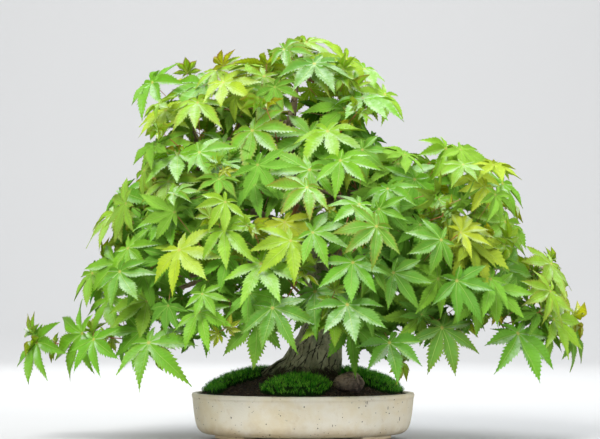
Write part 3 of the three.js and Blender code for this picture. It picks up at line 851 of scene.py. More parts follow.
@dataclass(frozen=True)
class TwigSkin(Finish):
    """Young wood and leaf stalks: brown at the root, then green or red."""

    name: str = "young_wood"
    rough: float = 0.42
    shine: float = 0.4
    dark: Colour = (0.11, 0.072, 0.045)
    pale: Colour = (0.19, 0.14, 0.075)
    green: Colour = (0.16, 0.26, 0.045)
    red: Colour = (0.40, 0.075, 0.035)
    flush: Colour = (0.33, 0.17, 0.06)
    bud: Colour = (0.16, 0.035, 0.02)

    def dress(self, recipe: Coat) -> None:
        """Feeds colour by the place along the twig and by its redness.

        Args:
            recipe: The material's recipe.
        """
        place = recipe.place()
        red, wood, bud = recipe.parts(recipe.mark("twig").outputs["Vector"])
        patches = recipe.mottle(place, 140.0, 0.35, 0.65)
        fresh = recipe.blend(red, self.green, self.red)
        fresh = recipe.washed(fresh, patches, 0.4, self.flush)
        old = recipe.blend(patches, self.dark, self.pale)
        colour = recipe.blend(wood, fresh, old)
        colour = recipe.blend(bud, colour, self.bud)
        recipe.feed("Base Color", colour)
        fine = recipe.grain(place, 900.0, 0.6)
        recipe.feed("Roughness", recipe.plus(self.rough, recipe.times(wood, 0.35)))
        recipe.bump(fine, 0.0002)


@dataclass(frozen=True)
class LeafSkin(Finish):
    """A maple leaf: veins, a pale junction, tints by age, blushed edges, painted sheen on upward faces,
    painted shade on sheltered leaves, and light through it.
    """

    name: str = "maple_leaf"
    rough: float = 0.28
    shine: float = 0.20
    blue: Colour = (0.028, 0.190, 0.010)
    green: Colour = (0.105, 0.370, 0.002)
    fresh: Colour = (0.290, 0.530, 0.016)
    gold: Colour = (0.560, 0.575, 0.006)
    bronze: Colour = (0.260, 0.105, 0.020)
    rib: Colour = (0.50, 0.64, 0.16)
    bloom_and_sheen: Colour = (0.48, 0.56, 0.49)
    blotched: Colour = (0.02, 0.17, 0.004)
    veined: Colour = (0.35, 0.5, 0.3)
    heart: Colour = (0.66, 0.42, 0.12)
    painted_shade: Colour = (0.006, 0.072, 0.001)
    underside: Colour = (0.24, 0.44, 0.06)
    glow: Colour = (0.45, 0.66, 0.012)

    def dress(self, recipe: Coat) -> None:
        """Feeds colour, roughness and bump, and lets light through.

        Args:
            recipe: The material's recipe.
        """
        place = recipe.place()
        off_rib, out, edge = recipe.parts(recipe.mark("blade").outputs["Vector"])
        vein = recipe.mark("vein").outputs["Fac"]
        tone, blush, shade = recipe.parts(recipe.mark("tint").outputs["Vector"])
        colour = recipe.blend(recipe.stepped(tone, 0.0, 0.45), self.blue, self.green)
        colour = recipe.blend(recipe.stepped(tone, 0.4, 0.8), colour, self.fresh)
        colour = recipe.blend(recipe.stepped(tone, 0.78, 1.0), colour, self.gold)
        blotch = recipe.mottle(place, 95.0, 0.34, 0.66)
        darker = recipe.blend(0.42, colour, self.blotched)
        colour = recipe.washed(colour, blotch, 0.6, darker)
        along_edge = recipe.stepped(edge, 0.55, 1.05)
        at_tip = recipe.stepped(out, 0.45, 1.0)
        reddened = recipe.plus(recipe.times(along_edge, 0.75), recipe.times(at_tip, 0.5))
        reddened = recipe.plus(reddened, recipe.times(blotch, 0.25))
        reddened = recipe.times(reddened, blush, clamp=True)
        colour = recipe.blend(reddened, colour, self.bronze)
        thin = recipe.times(recipe.stepped(vein, 0.80, 1.0), recipe.stepped(edge, 1.0, 0.75))
        colour = recipe.washed(colour, thin, 0.24, self.veined, "MULTIPLY")
        facing = recipe.node("ShaderNodeNewGeometry").outputs
        upward = recipe.parts(facing["Normal"])[2]
        patchy = recipe.minus(1.0, recipe.times(blotch, 0.8))
        # painted sheen: upward-facing parts of unshaded leaves are paled towards a whitish green in patches,
        # standing in for the top light's reflection
        painted_sheen = recipe.times(recipe.stepped(upward, 0.38, 0.95), patchy)
        painted_sheen = recipe.times(painted_sheen, recipe.stepped(shade, 0.4, 0.0), clamp=True)
        colour = recipe.blend(painted_sheen, colour, self.bloom_and_sheen)
        main = recipe.stepped(off_rib, 0.55, 0.2)
        main = recipe.times(main, recipe.stepped(out, 1.0, 0.35))
        colour = recipe.washed(colour, main, 0.5, self.rib)
        core = recipe.stepped(out, 0.05, 0.012)
        colour = recipe.washed(colour, core, 0.7, self.heart)
        # painted shade: leaves that others keep light from, and many inner leaves, are darkened towards a
        # deep green
        colour = recipe.washed(colour, shade, 0.85, self.painted_shade)
        under = recipe.blend(0.3, colour, self.underside)
        recipe.feed("Base Color", recipe.blend(facing["Backfacing"], colour, under))
        fine = recipe.grain(place, 1300.0, 0.5)
        rough = recipe.plus(self.rough, recipe.times(blotch, 0.16))
        rough = recipe.plus(rough, recipe.times(shade, 0.7), clamp=True)
        recipe.feed("Roughness", rough)
        height = recipe.minus(recipe.times(fine, 0.5), recipe.times(vein, 0.5))
        height = recipe.minus(height, main)
        recipe.bump(height, 0.0004)
        lit = recipe.blend(0.35, colour, self.glow)
        through = recipe.node("ShaderNodeBsdfTranslucent", {"Color": lit})
        share = recipe.times(recipe.stepped(shade, 1.0, 0.0), 0.22)
        shaders = {0: share, 1: recipe.shader.outputs[0], 2: through.outputs[0]}
        both = recipe.node("ShaderNodeMixShader", shaders)
        recipe.put(recipe.tree.nodes["Material Output"].inputs["Surface"], both.outputs[0])


@dataclass(frozen=True)
class StudioFloor(Finish):
    """Plain pale floor."""

    name: str = "pale_floor"
    rough: float = 0.8
    shine: float = 0.2
    grey: Colour = (0.41, 0.413, 0.417)

    def dress(self, recipe: Coat) -> None:
        """Sets one pale colour."""
        recipe.feed("Base Color", self.grey)


# ---- pot


@dataclass
class OvalPot:
    """A shallow oval tray with a rolled lip, four two-tiered feet and two drain holes. In millimetres."""

    narrower: float = 32.0
    floor_radius: float = 108.0
    around: int = 208
    profile: tuple[Pair, ...] = (
        (112, 8.0), (115.4, 8.4), (118.6, 9.9), (121.2, 12.1), (123.1, 14.8), (124.5, 18.5), (125.7, 23),
        (126.7, 29), (127.5, 35), (128.2, 41), (128.75, 46.0), (128.95, 48.0), (129.05, 49.1), (129.3, 49.8),
        (129.65, 50.4), (129.9, 51.3), (129.9, 52.6), (129.6, 53.8), (128.9, 54.7), (127.9, 55.0),
        (125.2, 55.0), (123.9, 54.8), (123.2, 54.1), (122.9, 52.8), (122.4, 44), (121.5, 30), (120.4, 22),
        (118, 17.4), (114.5, 14.8), (110, 14.0), (60, 14.0), (20, 14.0),
    )
    hole_at: float = 58.0
    hole_half: float = 9.0
    hole_sides: int = 40
    hole_cut: Pair = (5.0, 17.0)
    feet_at: tuple[float, ...] = (40.0, 140.0, 220.0, 320.0)
    tiers: tuple[tuple[float, float, float, float, float], ...] = (
        (27.0, 90.0, 113.0, 4.5, 9.2),
        (20.0, 93.0, 110.0, 0.0, 8.0),
    )
    bevel: float = 1.3
    sharp_corner: float = 0.8
    waver: float = 0.28

    def half_depth(self, radius: Array | float) -> Array | float:
        """The oval's half-depth where its half-length is radius."""
        return radius - self.narrower * np.minimum(1.0, np.asarray(radius) / self.floor_radius)

    def ring(self, radius: float, height: float, count: int) -> Array:
        """Points round the oval where its half-length is radius, at one height."""
        x, y = radius * np.cos(circle(count)), self.half_depth(radius) * np.sin(circle(count))
        return np.stack([x, y, np.full(count, float(height))], -1)

    def tray(self) -> Mesh:
        """The turned and narrowed tray, filled across its floor above and below.

        Returns:
            Its mesh.
        """
        rings = np.array([self.ring(radius, height, self.around) for radius, height in self.profile])
        shape = Shape.grid(rings * MM, capped=True)
        outer = rings.reshape(-1, 3)[:, 2] > 9
        waver = self.waver * MM * noise_at(shape.points, 0.05, 2, 3.0) * outer
        away = unit(shape.points * (1, 1, 0))
        waver = np.where(np.hypot(*shape.points[:, :2].T) > 0.07, waver, 0)
        shape.points = shape.points + away * waver[:, None]
        return shape.mesh("tray")

    def foot(self, bearing: float, tier: tuple[float, float, float, float, float]) -> Mesh:
        """One tier of one foot, a curved block with rounded edges.

        Args:
            bearing: The foot's place round the oval, in degrees.
            tier: Its arc in degrees, inner and outer radius, bottom and top.

        Returns:
            The block.
        """
        arc, inner, outer, bottom, top = tier
        turns = np.radians(bearing + arc * np.linspace(-0.5, 0.5, 19))
        corners = ((inner, bottom), (outer, bottom), (outer, top), (inner, top))
        cut = self.narrower
        rings = [[(r * math.cos(t), (r - cut) * math.sin(t), z) for r, z in corners] for t in turns]
        mesh = Shape.grid(np.array(rings) * MM, capped=True).mesh("foot")
        shaper = bmesh.new()
        shaper.from_mesh(mesh)
        bmesh.ops.recalc_face_normals(shaper, faces=shaper.faces)
        sharp = [e for e in shaper.edges if e.calc_face_angle(0.0) > self.sharp_corner]
        bmesh.ops.bevel(
            shaper, geom=sharp, offset=self.bevel * MM, segments=4, profile=0.5, affect="EDGES"
        )
        shaper.to_mesh(mesh)
        shaper.free()
        return mesh

    def build(self) -> Mesh:
        """The whole pot as one body, with its drain holes cut.

        Returns:
            Its mesh.
        """
        body = self.tray()
        tools = []
        turns = circle(self.hole_sides)
        for side in (-1, 1):
            x = self.hole_half * np.cos(turns) + side * self.hole_at
            y = self.hole_half * np.sin(turns)
            rings = np.array([np.stack([x, y, np.full(self.hole_sides, z)], -1) for z in self.hole_cut])
            tools.append((Shape.grid(rings * MM, capped=True).mesh("hole"), "DIFFERENCE"))
        for bearing in self.feet_at:
            tools += [(self.foot(bearing, tier), "UNION") for tier in self.tiers]
        for mesh, operation in tools:
            tool = placed("tool", mesh)
            body = applied(body, "BOOLEAN", object=tool, operation=operation, solver="EXACT")
            bpy.data.objects.remove(tool)
        body.shade_smooth()
        body.set_sharp_from_angle(angle=math.radians(48))
        return body

    def dress(self) -> None:
        """Adds the pot, and gives the drainage squares their plastic."""
        piece("pot_body", self.build(), Glaze(), "glaze", ["pot"])
        for node in ("drainage_mesh_left", "drainage_mesh_right"):
            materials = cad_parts[node].data.materials
            materials.clear()
            materials.append(MeshPlastic().material())


# ---- soil, moss and stone


@dataclass
class SoilBed:
    """The filling of the pot: a low mound with a crumbled top, loose grains and dry root ends. In mm."""

    half: float = 122.3
    edge_height: float = 51.0
    mound: float = 26.0
    floor: float = 14.6
    wall: float = 123.0
    rings: int = 54
    around: int = 260
    grains: int = 3400
    spread: Pair = (122.0, 92.0)
    pot: OvalPot = field(default_factory=OvalPot)

    def height(self, x: Array, y: Array) -> Array:
        """The soil's height over a place, before its crumbs."""
        share = self.share(x, y)
        return self.edge_height + 0.5 + self.mound * np.maximum(0, 1 - share**2) ** 1.3

    def share(self, x: Array, y: Array) -> Array:
        """How far out a place is.

        Args:
            x: Its place along the pot, in millimetres.
            y: Its place across the pot.

        Returns:
            0 in the middle to 1 at the pot's wall.
        """
        radius = np.hypot(x, y)
        for _ in range(12):
            depth = np.maximum(self.pot.half_depth(np.maximum(radius, 1e-3)), 1e-3)
            radius = radius * np.sqrt((x / np.maximum(radius, 1e-3)) ** 2 + (y / depth) ** 2)
        return radius / self.wall

    def build(self) -> Mesh:
        """The crumbled mound, closed down to the pot's floor.

        Returns:
            Its mesh.
        """
        turns = circle(self.around)
        rows = []
        for share in np.linspace(0.01, 1, self.rings):
            r = share * self.half
            x, y = r * np.cos(turns), self.pot.half_depth(r) * np.sin(turns)
            rows.append(np.stack([x, y, self.height(x, y)], -1))
        top = np.array(rows) * MM
        flat = top.reshape(-1, 3)
        lumps = 1.6 * noise_at(flat, 0.009, 4) + 0.9 * noise_at(flat, 0.003, 3, 9.0)
        fade = np.repeat(smooth(1.0, 0.93, np.linspace(0, 1, self.rings)), self.around)
        flat[:, 2] += lumps * MM * (0.15 + 0.85 * fade)
        inside = ((110.0, self.floor), (116.5, 17.4), (119.8, 22.0), (121.2, 30.0))
        below = np.array([self.pot.ring(radius, height, self.around) for radius, height in inside]) * MM
        rings = np.concatenate([below, flat.reshape(self.rings, self.around, 3)[::-1]])
        return Shape.grid(rings, capped=True).mesh("soil_bed")

    def loose(self, ground: Ground) -> tuple[Shape, Shape]:
        """Loose grains and dry root ends on the bare soil.

        Args:
            ground: What stands on the soil.

        Returns:
            The grains and the root ends.
        """
        lot = hashed(41)
        base = bmesh.new()
        bmesh.ops.create_icosphere(base, subdivisions=1, radius=1.0)
        ball = np.array([v.co[:] for v in base.verts])
        skin = np.array([[v.index for v in f.verts] for f in base.faces])
        base.free()
        crumbs, ends = [], []
        while len(crumbs) < self.grains:
            x, y = (lot.uniform(-far, far) for far in self.spread)
            if float(self.share(np.array(x), np.array(y))) > 0.985 or ground.covered(x * MM, y * MM):
                continue
            half = 0.45 + 1.75 * lot.random() ** 3
            spot = np.array((x, y, float(self.height(np.array(x), np.array(y))) + 0.35 * half))
            squash = np.array([lot.uniform(0.7, 1.25) for _ in range(3)])
            jitter = 1 + 0.28 * (np.array([lot.random() for _ in ball]) - 0.5)
            crumbs.append(Shape((spot + ball * jitter[:, None] * squash * half) * MM, [skin]))
            if len(crumbs) % 26 == 0:
                turn = lot.uniform(0, 2 * math.pi)
                length = lot.uniform(5, 15)
                steps = np.linspace(-0.5, 0.5, 7)
                bend = lot.uniform(-3, 3) * steps**2 * 4
                run = np.stack([x + length * steps * math.cos(turn) - bend * math.sin(turn),
                                y + length * steps * math.sin(turn) + bend * math.cos(turn)], -1)
                level = self.height(run[:, 0], run[:, 1]) + 1.0 + 1.2 * np.cos(steps * math.pi)
                path = np.concatenate([run, level[:, None]], 1) * MM
                ends.append(Shape.tube(path, np.full(7, 0.22 * MM), 4))
        return Shape.joined(crumbs), Shape.joined(ends)

    def dress(self, ground: Ground) -> None:
        """Adds the bed, its grains and the root ends.

        Args:
            ground: What stands on the soil.
        """
        piece("soil_bed", self.build(), Earth(), "soil", ["soil"])
        grains, ends = self.loose(ground)
        mesh = grains.mesh("soil_grains")
        mesh.shade_flat()
        dry = Earth(name="soil_grain", dark=(0.020, 0.014, 0.011), light=(0.105, 0.072, 0.048))
        piece("soil_grains", mesh, dry, "soil")
        piece("root_ends", ends.marked("twig", DRY_ROOT).mesh("root_ends"), TwigSkin(), "bark")


@dataclass
class Ground:
    """What stands on the soil, so that grains, moss and root hairs find their places. Metres."""

    trunk: BVHTree
    pads: list[BVHTree]
    stone: tuple[Vector, Vector]
    bed: SoilBed
    above: float = 0.12

    def over_stone(self, x: float, y: float) -> bool:
        """Whether the stone, given by its middle and its half-sizes, covers a place."""
        middle, half = self.stone
        return ((x - middle.x) / half.x) ** 2 + ((y - middle.y) / half.y) ** 2 < 0.85

    def taken(self, x: float, y: float, z: float) -> bool:
        """Whether trunk or stone stands where moss could grow."""
        hit = self.trunk.ray_cast(Vector((x, y, 0.10)), DOWN, 0.06)[0]
        return (hit is not None and hit.z > z + 0.001) or self.over_stone(x, y)

    def mossy(self, x: float, y: float) -> list[float]:
        """The heights of the moss pads over a place."""
        hits = [pad.ray_cast(Vector((x, y, self.above)), DOWN, 0.1)[0] for pad in self.pads]
        return [hit.z for hit in hits if hit is not None]

    def covered(self, x: float, y: float) -> bool:
        """Whether stone or moss covers the soil."""
        return self.over_stone(x, y) or bool(self.mossy(x, y))

    def height(self, x: float, y: float) -> float:
        """The top of the soil or of the moss."""
        soil = float(self.bed.height(np.array(x / MM), np.array(y / MM))) * MM
        return max([soil, *self.mossy(x, y)])


@dataclass
class MossPad:
    """One cushion of moss: a lumpy base and thousands of leafy shoots. Sizes in millimetres."""

    node: str
    spacing: float = 1.85
    sunk: float = 3.8
    tall: Pair = (2.8, 7.2)
    stem: float = 0.42
    leaflet: float = 2.9

    def base(self) -> Mesh:
        """The cushion under the shoots: the pad's own form, lumpy and a little lower.

        Returns:
            Its mesh.
        """
        mesh = applied(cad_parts[self.node].data.copy(), "REMESH", mode="VOXEL", voxel_size=1.4 * MM)
        points = relaxed(points_of(mesh), edges_of(mesh), 6)
        move_points(mesh, points)
        normals = normals_of(mesh)
        up = np.clip(normals[:, 2], 0, 1)
        lumps = 0.7 * noise_at(points, 0.009, 3, 5.0) - self.sunk
        move_points(mesh, points + normals * (lumps * up * MM)[:, None])
        return mesh

    def shoot(self, spot: Array, lean: Array, lot: random.Random) -> tuple[Array, Array, Array]:
        """One moss shoot: a thin stem with narrow leaflets round its upper half.

        Args:
            spot: Its root.
            lean: The direction it grows in.
            lot: Where its chances come from.

        Returns:
            Its points, triangles and marks.
        """
        tall = lot.uniform(*self.tall) * MM
        tone = lot.random()
        side = unit(np.cross(lean, (0.3, 0.5, 0.1)))
        other = np.cross(lean, side)
        ring = [side * math.cos(t) + other * math.sin(t) for t in (0.0, 2.094, 4.189)]
        start = lot.uniform(0, 6.28)
        points = [spot + self.stem * MM * r for r in ring] + [spot + lean * tall]
        faces = [(0, 1, 3), (1, 2, 3), (2, 0, 3)]
        marks = [(0.0, tone, 0.0)] * 3 + [(1.0, tone, 0.0)]
        for k in range(7):
            turn = start + k * 2.4
            share = 0.42 + 0.085 * k
            out = side * math.cos(turn) + other * math.sin(turn)
            root = spot + lean * tall * share
            wide = np.cross(lean, out) * 0.26 * MM
            tip = root + (out * 0.75 + lean * (0.5 + 0.1 * k)) * self.leaflet * MM * lot.uniform(0.75, 1.2)
            at = len(points)
            points += [root - wide, root + wide, tip]
            faces.append((at, at + 1, at + 2))
            marks += [(share, tone, 0.0)] * 2 + [(1.0, tone, 1.0)]
        return np.array(points), np.array(faces), np.array(marks)

    def dress(self, ground: Ground) -> None:
        """Adds the cushion with its shoots.

        Args:
            ground: What stands on the soil.
        """
        base = self.base()
        points, triangles = points_of(base), triangles_of(base)
        search = tree_of(points, triangles)
        low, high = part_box(self.node)
        lot = hashed(7, len(self.node), int(low.x * 1e4) % 97)
        step = self.spacing * MM
        shapes = []
        for x in np.arange(low.x, high.x, step):
            for y in np.arange(low.y, high.y, step):
                px, py = x + lot.uniform(-0.5, 0.5) * step, y + lot.uniform(-0.5, 0.5) * step
                hit, normal, _, _ = search.ray_cast(Vector((px, py, 0.2)), DOWN)
                if hit is None or normal.z < 0.12 or ground.taken(px, py, hit.z):
                    continue
                up = np.array(normal)
                lean = unit(up * 0.75 + np.array((lot.uniform(-0.35, 0.35), lot.uniform(-0.35, 0.35), 0.8)))
                made = self.shoot(np.array(hit) - 0.4 * MM * up, lean, lot)
                shapes.append(Shape(made[0], [made[1]], {"moss": made[2]}))
        cushion = Shape(points, [triangles]).marked("moss", (0.12, 0.3, 0.0))
        name = self.node + "_shoots"
        piece(name, Shape.joined([cushion, *shapes]).mesh(name), MossGreen(), "moss", [self.node])


@dataclass
class PotStone:
    """The rounded stone beside the trunk."""

    node: str = "stone"

    def build(self) -> Mesh:
        """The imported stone's form, rounded, then weathered.

        Returns:
            Its mesh.
        """
        points, triangles = welded(self.node)
        search = tree_of(points, triangles)
        centre = (points.min(0) + points.max(0)) / 2
        ball = bmesh.new()
        bmesh.ops.create_icosphere(ball, subdivisions=6, radius=1.0)
        mesh = bpy.data.meshes.new("weathered_stone")
        ball.to_mesh(mesh)
        ball.free()
        rays = unit(points_of(mesh))
        reach = [search.ray_cast(Vector(centre), Vector(r))[3] or 0.014 for r in rays]
        rounded = relaxed(centre + rays * np.array(reach)[:, None], edges_of(mesh), 30)
        dents = 0.9 * noise_at(rounded, 0.011, 3, 2.0) + 0.5 * noise_at(rounded, 0.0035, 4, 6.0)
        chips = -1.1 * smooth(0.18, 0.5, noise_at(rounded, 0.006, 2, 12.0))
        move_points(mesh, rounded + rays * ((dents + chips) * MM)[:, None])
        mesh.shade_smooth()
        return mesh

    def dress(self) -> None:
        """Adds the stone."""
        piece("weathered_stone", self.build(), RiverStone(), "stone", [self.node])


# ---- wood


@dataclass
class Wood:
    """Surface roots, trunk and branches: one growth, with fissured bark. Sizes in millimetres."""

    node: str = "trunk_and_branches"
    line: tuple[tuple[float, float, float, float], ...] = (
        (4, 2, 36, 27), (5, 2, 60, 34), (8, 2, 80, 36), (15, 1, 98, 32), (21, 0, 116, 27),
        (25, 0, 138, 23.5), (21, 0, 166, 21), (11, 2, 198, 19), (-3, 3, 242, 15), (-14, 1, 290, 11.5),
        (-18, 0, 336, 8.5), (-13, 2, 380, 5.5), (-8, 2, 412, 3.4),
    )
    voxel: float = 1.7
    fine_below: float = 172.0
    girth: float = 30.0
    cells: tuple[tuple[float, float, float, float], ...] = ((8.0, 3.0, -0.2, 0.8), (4.3, 2.4, 0.35, 1.7))
    depth: float = 0.95
    cracked_to: float = 430.0
    hairs: int = 170
    hair_arc: Pair = (165.0, 325.0)
    hair_level: Pair = (0.066, 0.086)

    def axis(self, heights: Array) -> tuple[Array, Array, Array]:
        """The trunk's middle and half-width at each height, in millimetres."""
        x, y, z, half = np.array(self.line).T
        return np.interp(heights, z, x), np.interp(heights, z, y), np.interp(heights, z, half)

    def even(self) -> Mesh:
        """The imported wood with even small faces, finer on the lower trunk.

        Returns:
            Its mesh.
        """
        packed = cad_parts[self.node].data.copy()
        mesh = applied(packed, "REMESH", mode="VOXEL", voxel_size=self.voxel * MM)
        move_points(mesh, relaxed(points_of(mesh), edges_of(mesh), 7))
        shaper = bmesh.new()
        shaper.from_mesh(mesh)
        low, high = 0.048, self.fine_below * MM
        starts = [(edge, edge.verts[0].co) for edge in shaper.edges]
        fine = [edge for edge, at in starts if self.on_trunk(at) and low < at.z < high]
        bmesh.ops.subdivide_edges(shaper, edges=fine, cuts=1, use_grid_fill=True, smooth=0.6)
        bmesh.ops.triangulate(shaper, faces=[f for f in shaper.faces if len(f.verts) > 4])
        shaper.to_mesh(mesh)
        shaper.free()
        return mesh

    def on_trunk(self, spot: Vector) -> bool:
        """Tells whether a place is on the trunk or a root and not on a branch.

        Args:
            spot: The place in metres.

        Returns:
            Whether it is.
        """
        x, y, half = self.axis(np.array([spot.z / MM]))
        reach = half[0] * 1.35 + (12 if spot.z < 0.085 else 0)
        return math.hypot(spot.x / MM - x[0], spot.y / MM - y[0]) < reach

    def cracks(self, spots: Array, across: float, tall: float, lot: random.Random) -> Array:
        """Millimetres from each spot to the nearest border between tall cells laid round the trunk.

        Args:
            spots: Rows of millimetres round the trunk and up it.
            across: A cell's width.
            tall: How many times taller than wide a cell is.
            lot: Where the cells' places come from.

        Returns:
            One distance a spot.
        """
        turn = 2 * math.pi * self.girth
        columns = round(turn / across)
        seeds = []
        for row in range(int(self.cracked_to / (across * tall)) + 2):
            for column in range(columns):
                u = (column + 0.5 * (row % 2) + lot.uniform(-0.36, 0.36)) * turn / columns
                seeds.append((u % turn, (row + lot.uniform(-0.42, 0.42)) * across))
        near = KDTree(3 * len(seeds))
        for k, (u, v) in enumerate(seeds):
            for shift in (-1, 0, 1):
                near.insert((u + shift * turn, v, 0.0), k)
        near.balance()
        gaps = np.empty(len(spots))
        for i, (u, height) in enumerate(spots.tolist()):
            v = height / tall
            (a, _, da), (b, _, db) = near.find_n((u % turn, v, 0.0), 2)
            apart = math.hypot(b.x - a.x, b.y - a.y)
            upright = abs(b.y - a.y) / apart
            stretch = math.hypot((b.x - a.x) / apart, upright / tall)
            gaps[i] = (db * db - da * da) / (2 * apart) / stretch + 0.35 * upright
        return gaps

    def fissures(self, points: Array) -> tuple[Array, Array]:
        """How near the bark's fissures are, and how thick the wood is, at each point.

        Args:
            points: Rows of x, y, z in metres.

        Returns:
            Millimetres to the nearest crack, and thickness from 0 on a twig to 1 at the trunk's foot.
        """
        x, y, half = self.axis(points[:, 2] / MM)
        offset = points[:, :2] / MM - np.stack([x, y], -1)
        trunk = smooth(1.75, 1.3, np.hypot(*offset.T) / half)
        spots = np.stack([np.arctan2(offset[:, 1], offset[:, 0]) * self.girth, points[:, 2] / MM], -1)
        spots[:, 0] += 2.6 * noise_at(points, 0.022, 4, 0.0)
        spots[:, 1] += 4.0 * noise_at(points, 0.014, 3, 7.0)
        gap = np.full(len(points), 9.0)
        on = trunk > 0.02
        for number, (across, tall, faint, heal) in enumerate(self.cells):
            healed = smooth(0.12, -0.35, noise_at(points[on], 0.011, 3, 21.0 + number))
            apart = self.cracks(spots[on], across, tall, hashed(59, number)) + faint + heal * healed
            gap[on] = np.minimum(gap[on], apart)
        thick = np.clip(trunk * half / 34, 0, 1)
        return gap + 3 * (1 - trunk), thick

    def build(self) -> Mesh:
        """The wood with its bark.

        Returns:
            Its mesh.
        """
        mesh = self.even()
        points, normals = points_of(mesh), normals_of(mesh)
        gap, thick = self.fissures(points)
        crack = smooth(1.5, 0.3, gap)
        plates = 0.5 * noise_at(points, 0.010, 3, 4.0) + 0.35 * noise_at(points, 0.0035, 3, 8.0)
        rise = plates * (0.25 + 0.75 * thick) - self.depth * crack * (0.35 + 0.65 * thick)
        move_points(mesh, points + normals * (rise * MM)[:, None])
        foot = smooth(0.088, 0.072, points[:, 2] + 0.010 * noise_at(points, 0.012, 3, 31.0))
        marks = np.stack([gap, thick, foot * 0.8], -1)
        write_mark(mesh, "bark", marks)
        mesh.shade_smooth()
        return mesh

    def fringe(self, ground: Ground) -> Shape:
        """Thin dry root hairs that hang from the front of the trunk's foot onto the ground.

        Args:
            ground: What stands on the soil.

        Returns:
            The hairs.
        """
        lot, hairs = hashed(83), []
        while len(hairs) < self.hairs:
            turn = math.radians(lot.uniform(*self.hair_arc))
            out = np.array((math.cos(turn), math.sin(turn), 0.0))
            level = lot.uniform(*self.hair_level)
            far = np.array((0.004, 0.002, level)) + 0.09 * out
            hit = ground.trunk.ray_cast(Vector(far), Vector(-out), 0.09)[0]
            if hit is None:
                continue
            aside = np.array((-out[1], out[0], 0.0)) * lot.gauss(0, 6.0) * MM
            foot = np.array(hit) + out * lot.uniform(1.5, 9.0) * MM + aside
            foot[2] = ground.height(foot[0], foot[1]) + 0.9 * MM
            if foot[2] > hit.z:
                continue
            steps = np.linspace(0, 1, 7)[:, None]
            wave = np.array([lot.gauss(0, 1.1), lot.gauss(0, 1.1), lot.gauss(0, 0.5)]) * MM
            path = np.array(hit) + 0.5 * MM * out + (foot - np.array(hit)) * steps
            path += out * 2.2 * MM * np.sin(math.pi * steps) + wave * np.sin(2 * math.pi * steps)
            hairs.append(Shape.tube(path, MM * np.linspace(0.45, 0.25, 7), 4))
        return Shape.joined(hairs).marked("twig", DRY_ROOT)

    def dress(self, ground: Ground) -> None:
        """Adds the wood and the root hairs at its foot.

        Args:
            ground: What stands on the soil.
        """
        piece("barked_wood", self.build(), Bark(), "bark", [self.node])
        hair = TwigSkin(name="root_hair", dark=(0.018, 0.013, 0.009), pale=(0.085, 0.062, 0.034))
        piece("root_hairs", self.fringe(ground).mesh("root_hairs"), hair, "bark")


# ---- leaves


@dataclass(frozen=True)
class Lobe:
    """One lobe of a leaf: its bearing from the middle one, its length and its teeth on a side."""

    bearing: float
    length: float
    teeth: int
    half: float = 0.152


@dataclass(frozen=True)
class LeafChance:
    """How much lobes and leaves differ from one another: the spread of each of their chances."""

    length: float = 0.045
    width: float = 0.09
    edge: float = 0.045
    bearing: float = 0.06
    bow: float = 0.045
    whole: float = 0.3
    droop: float = 0.45
    fold: float = 0.4
    twist: float = 0.32
    curl: float = 0.07


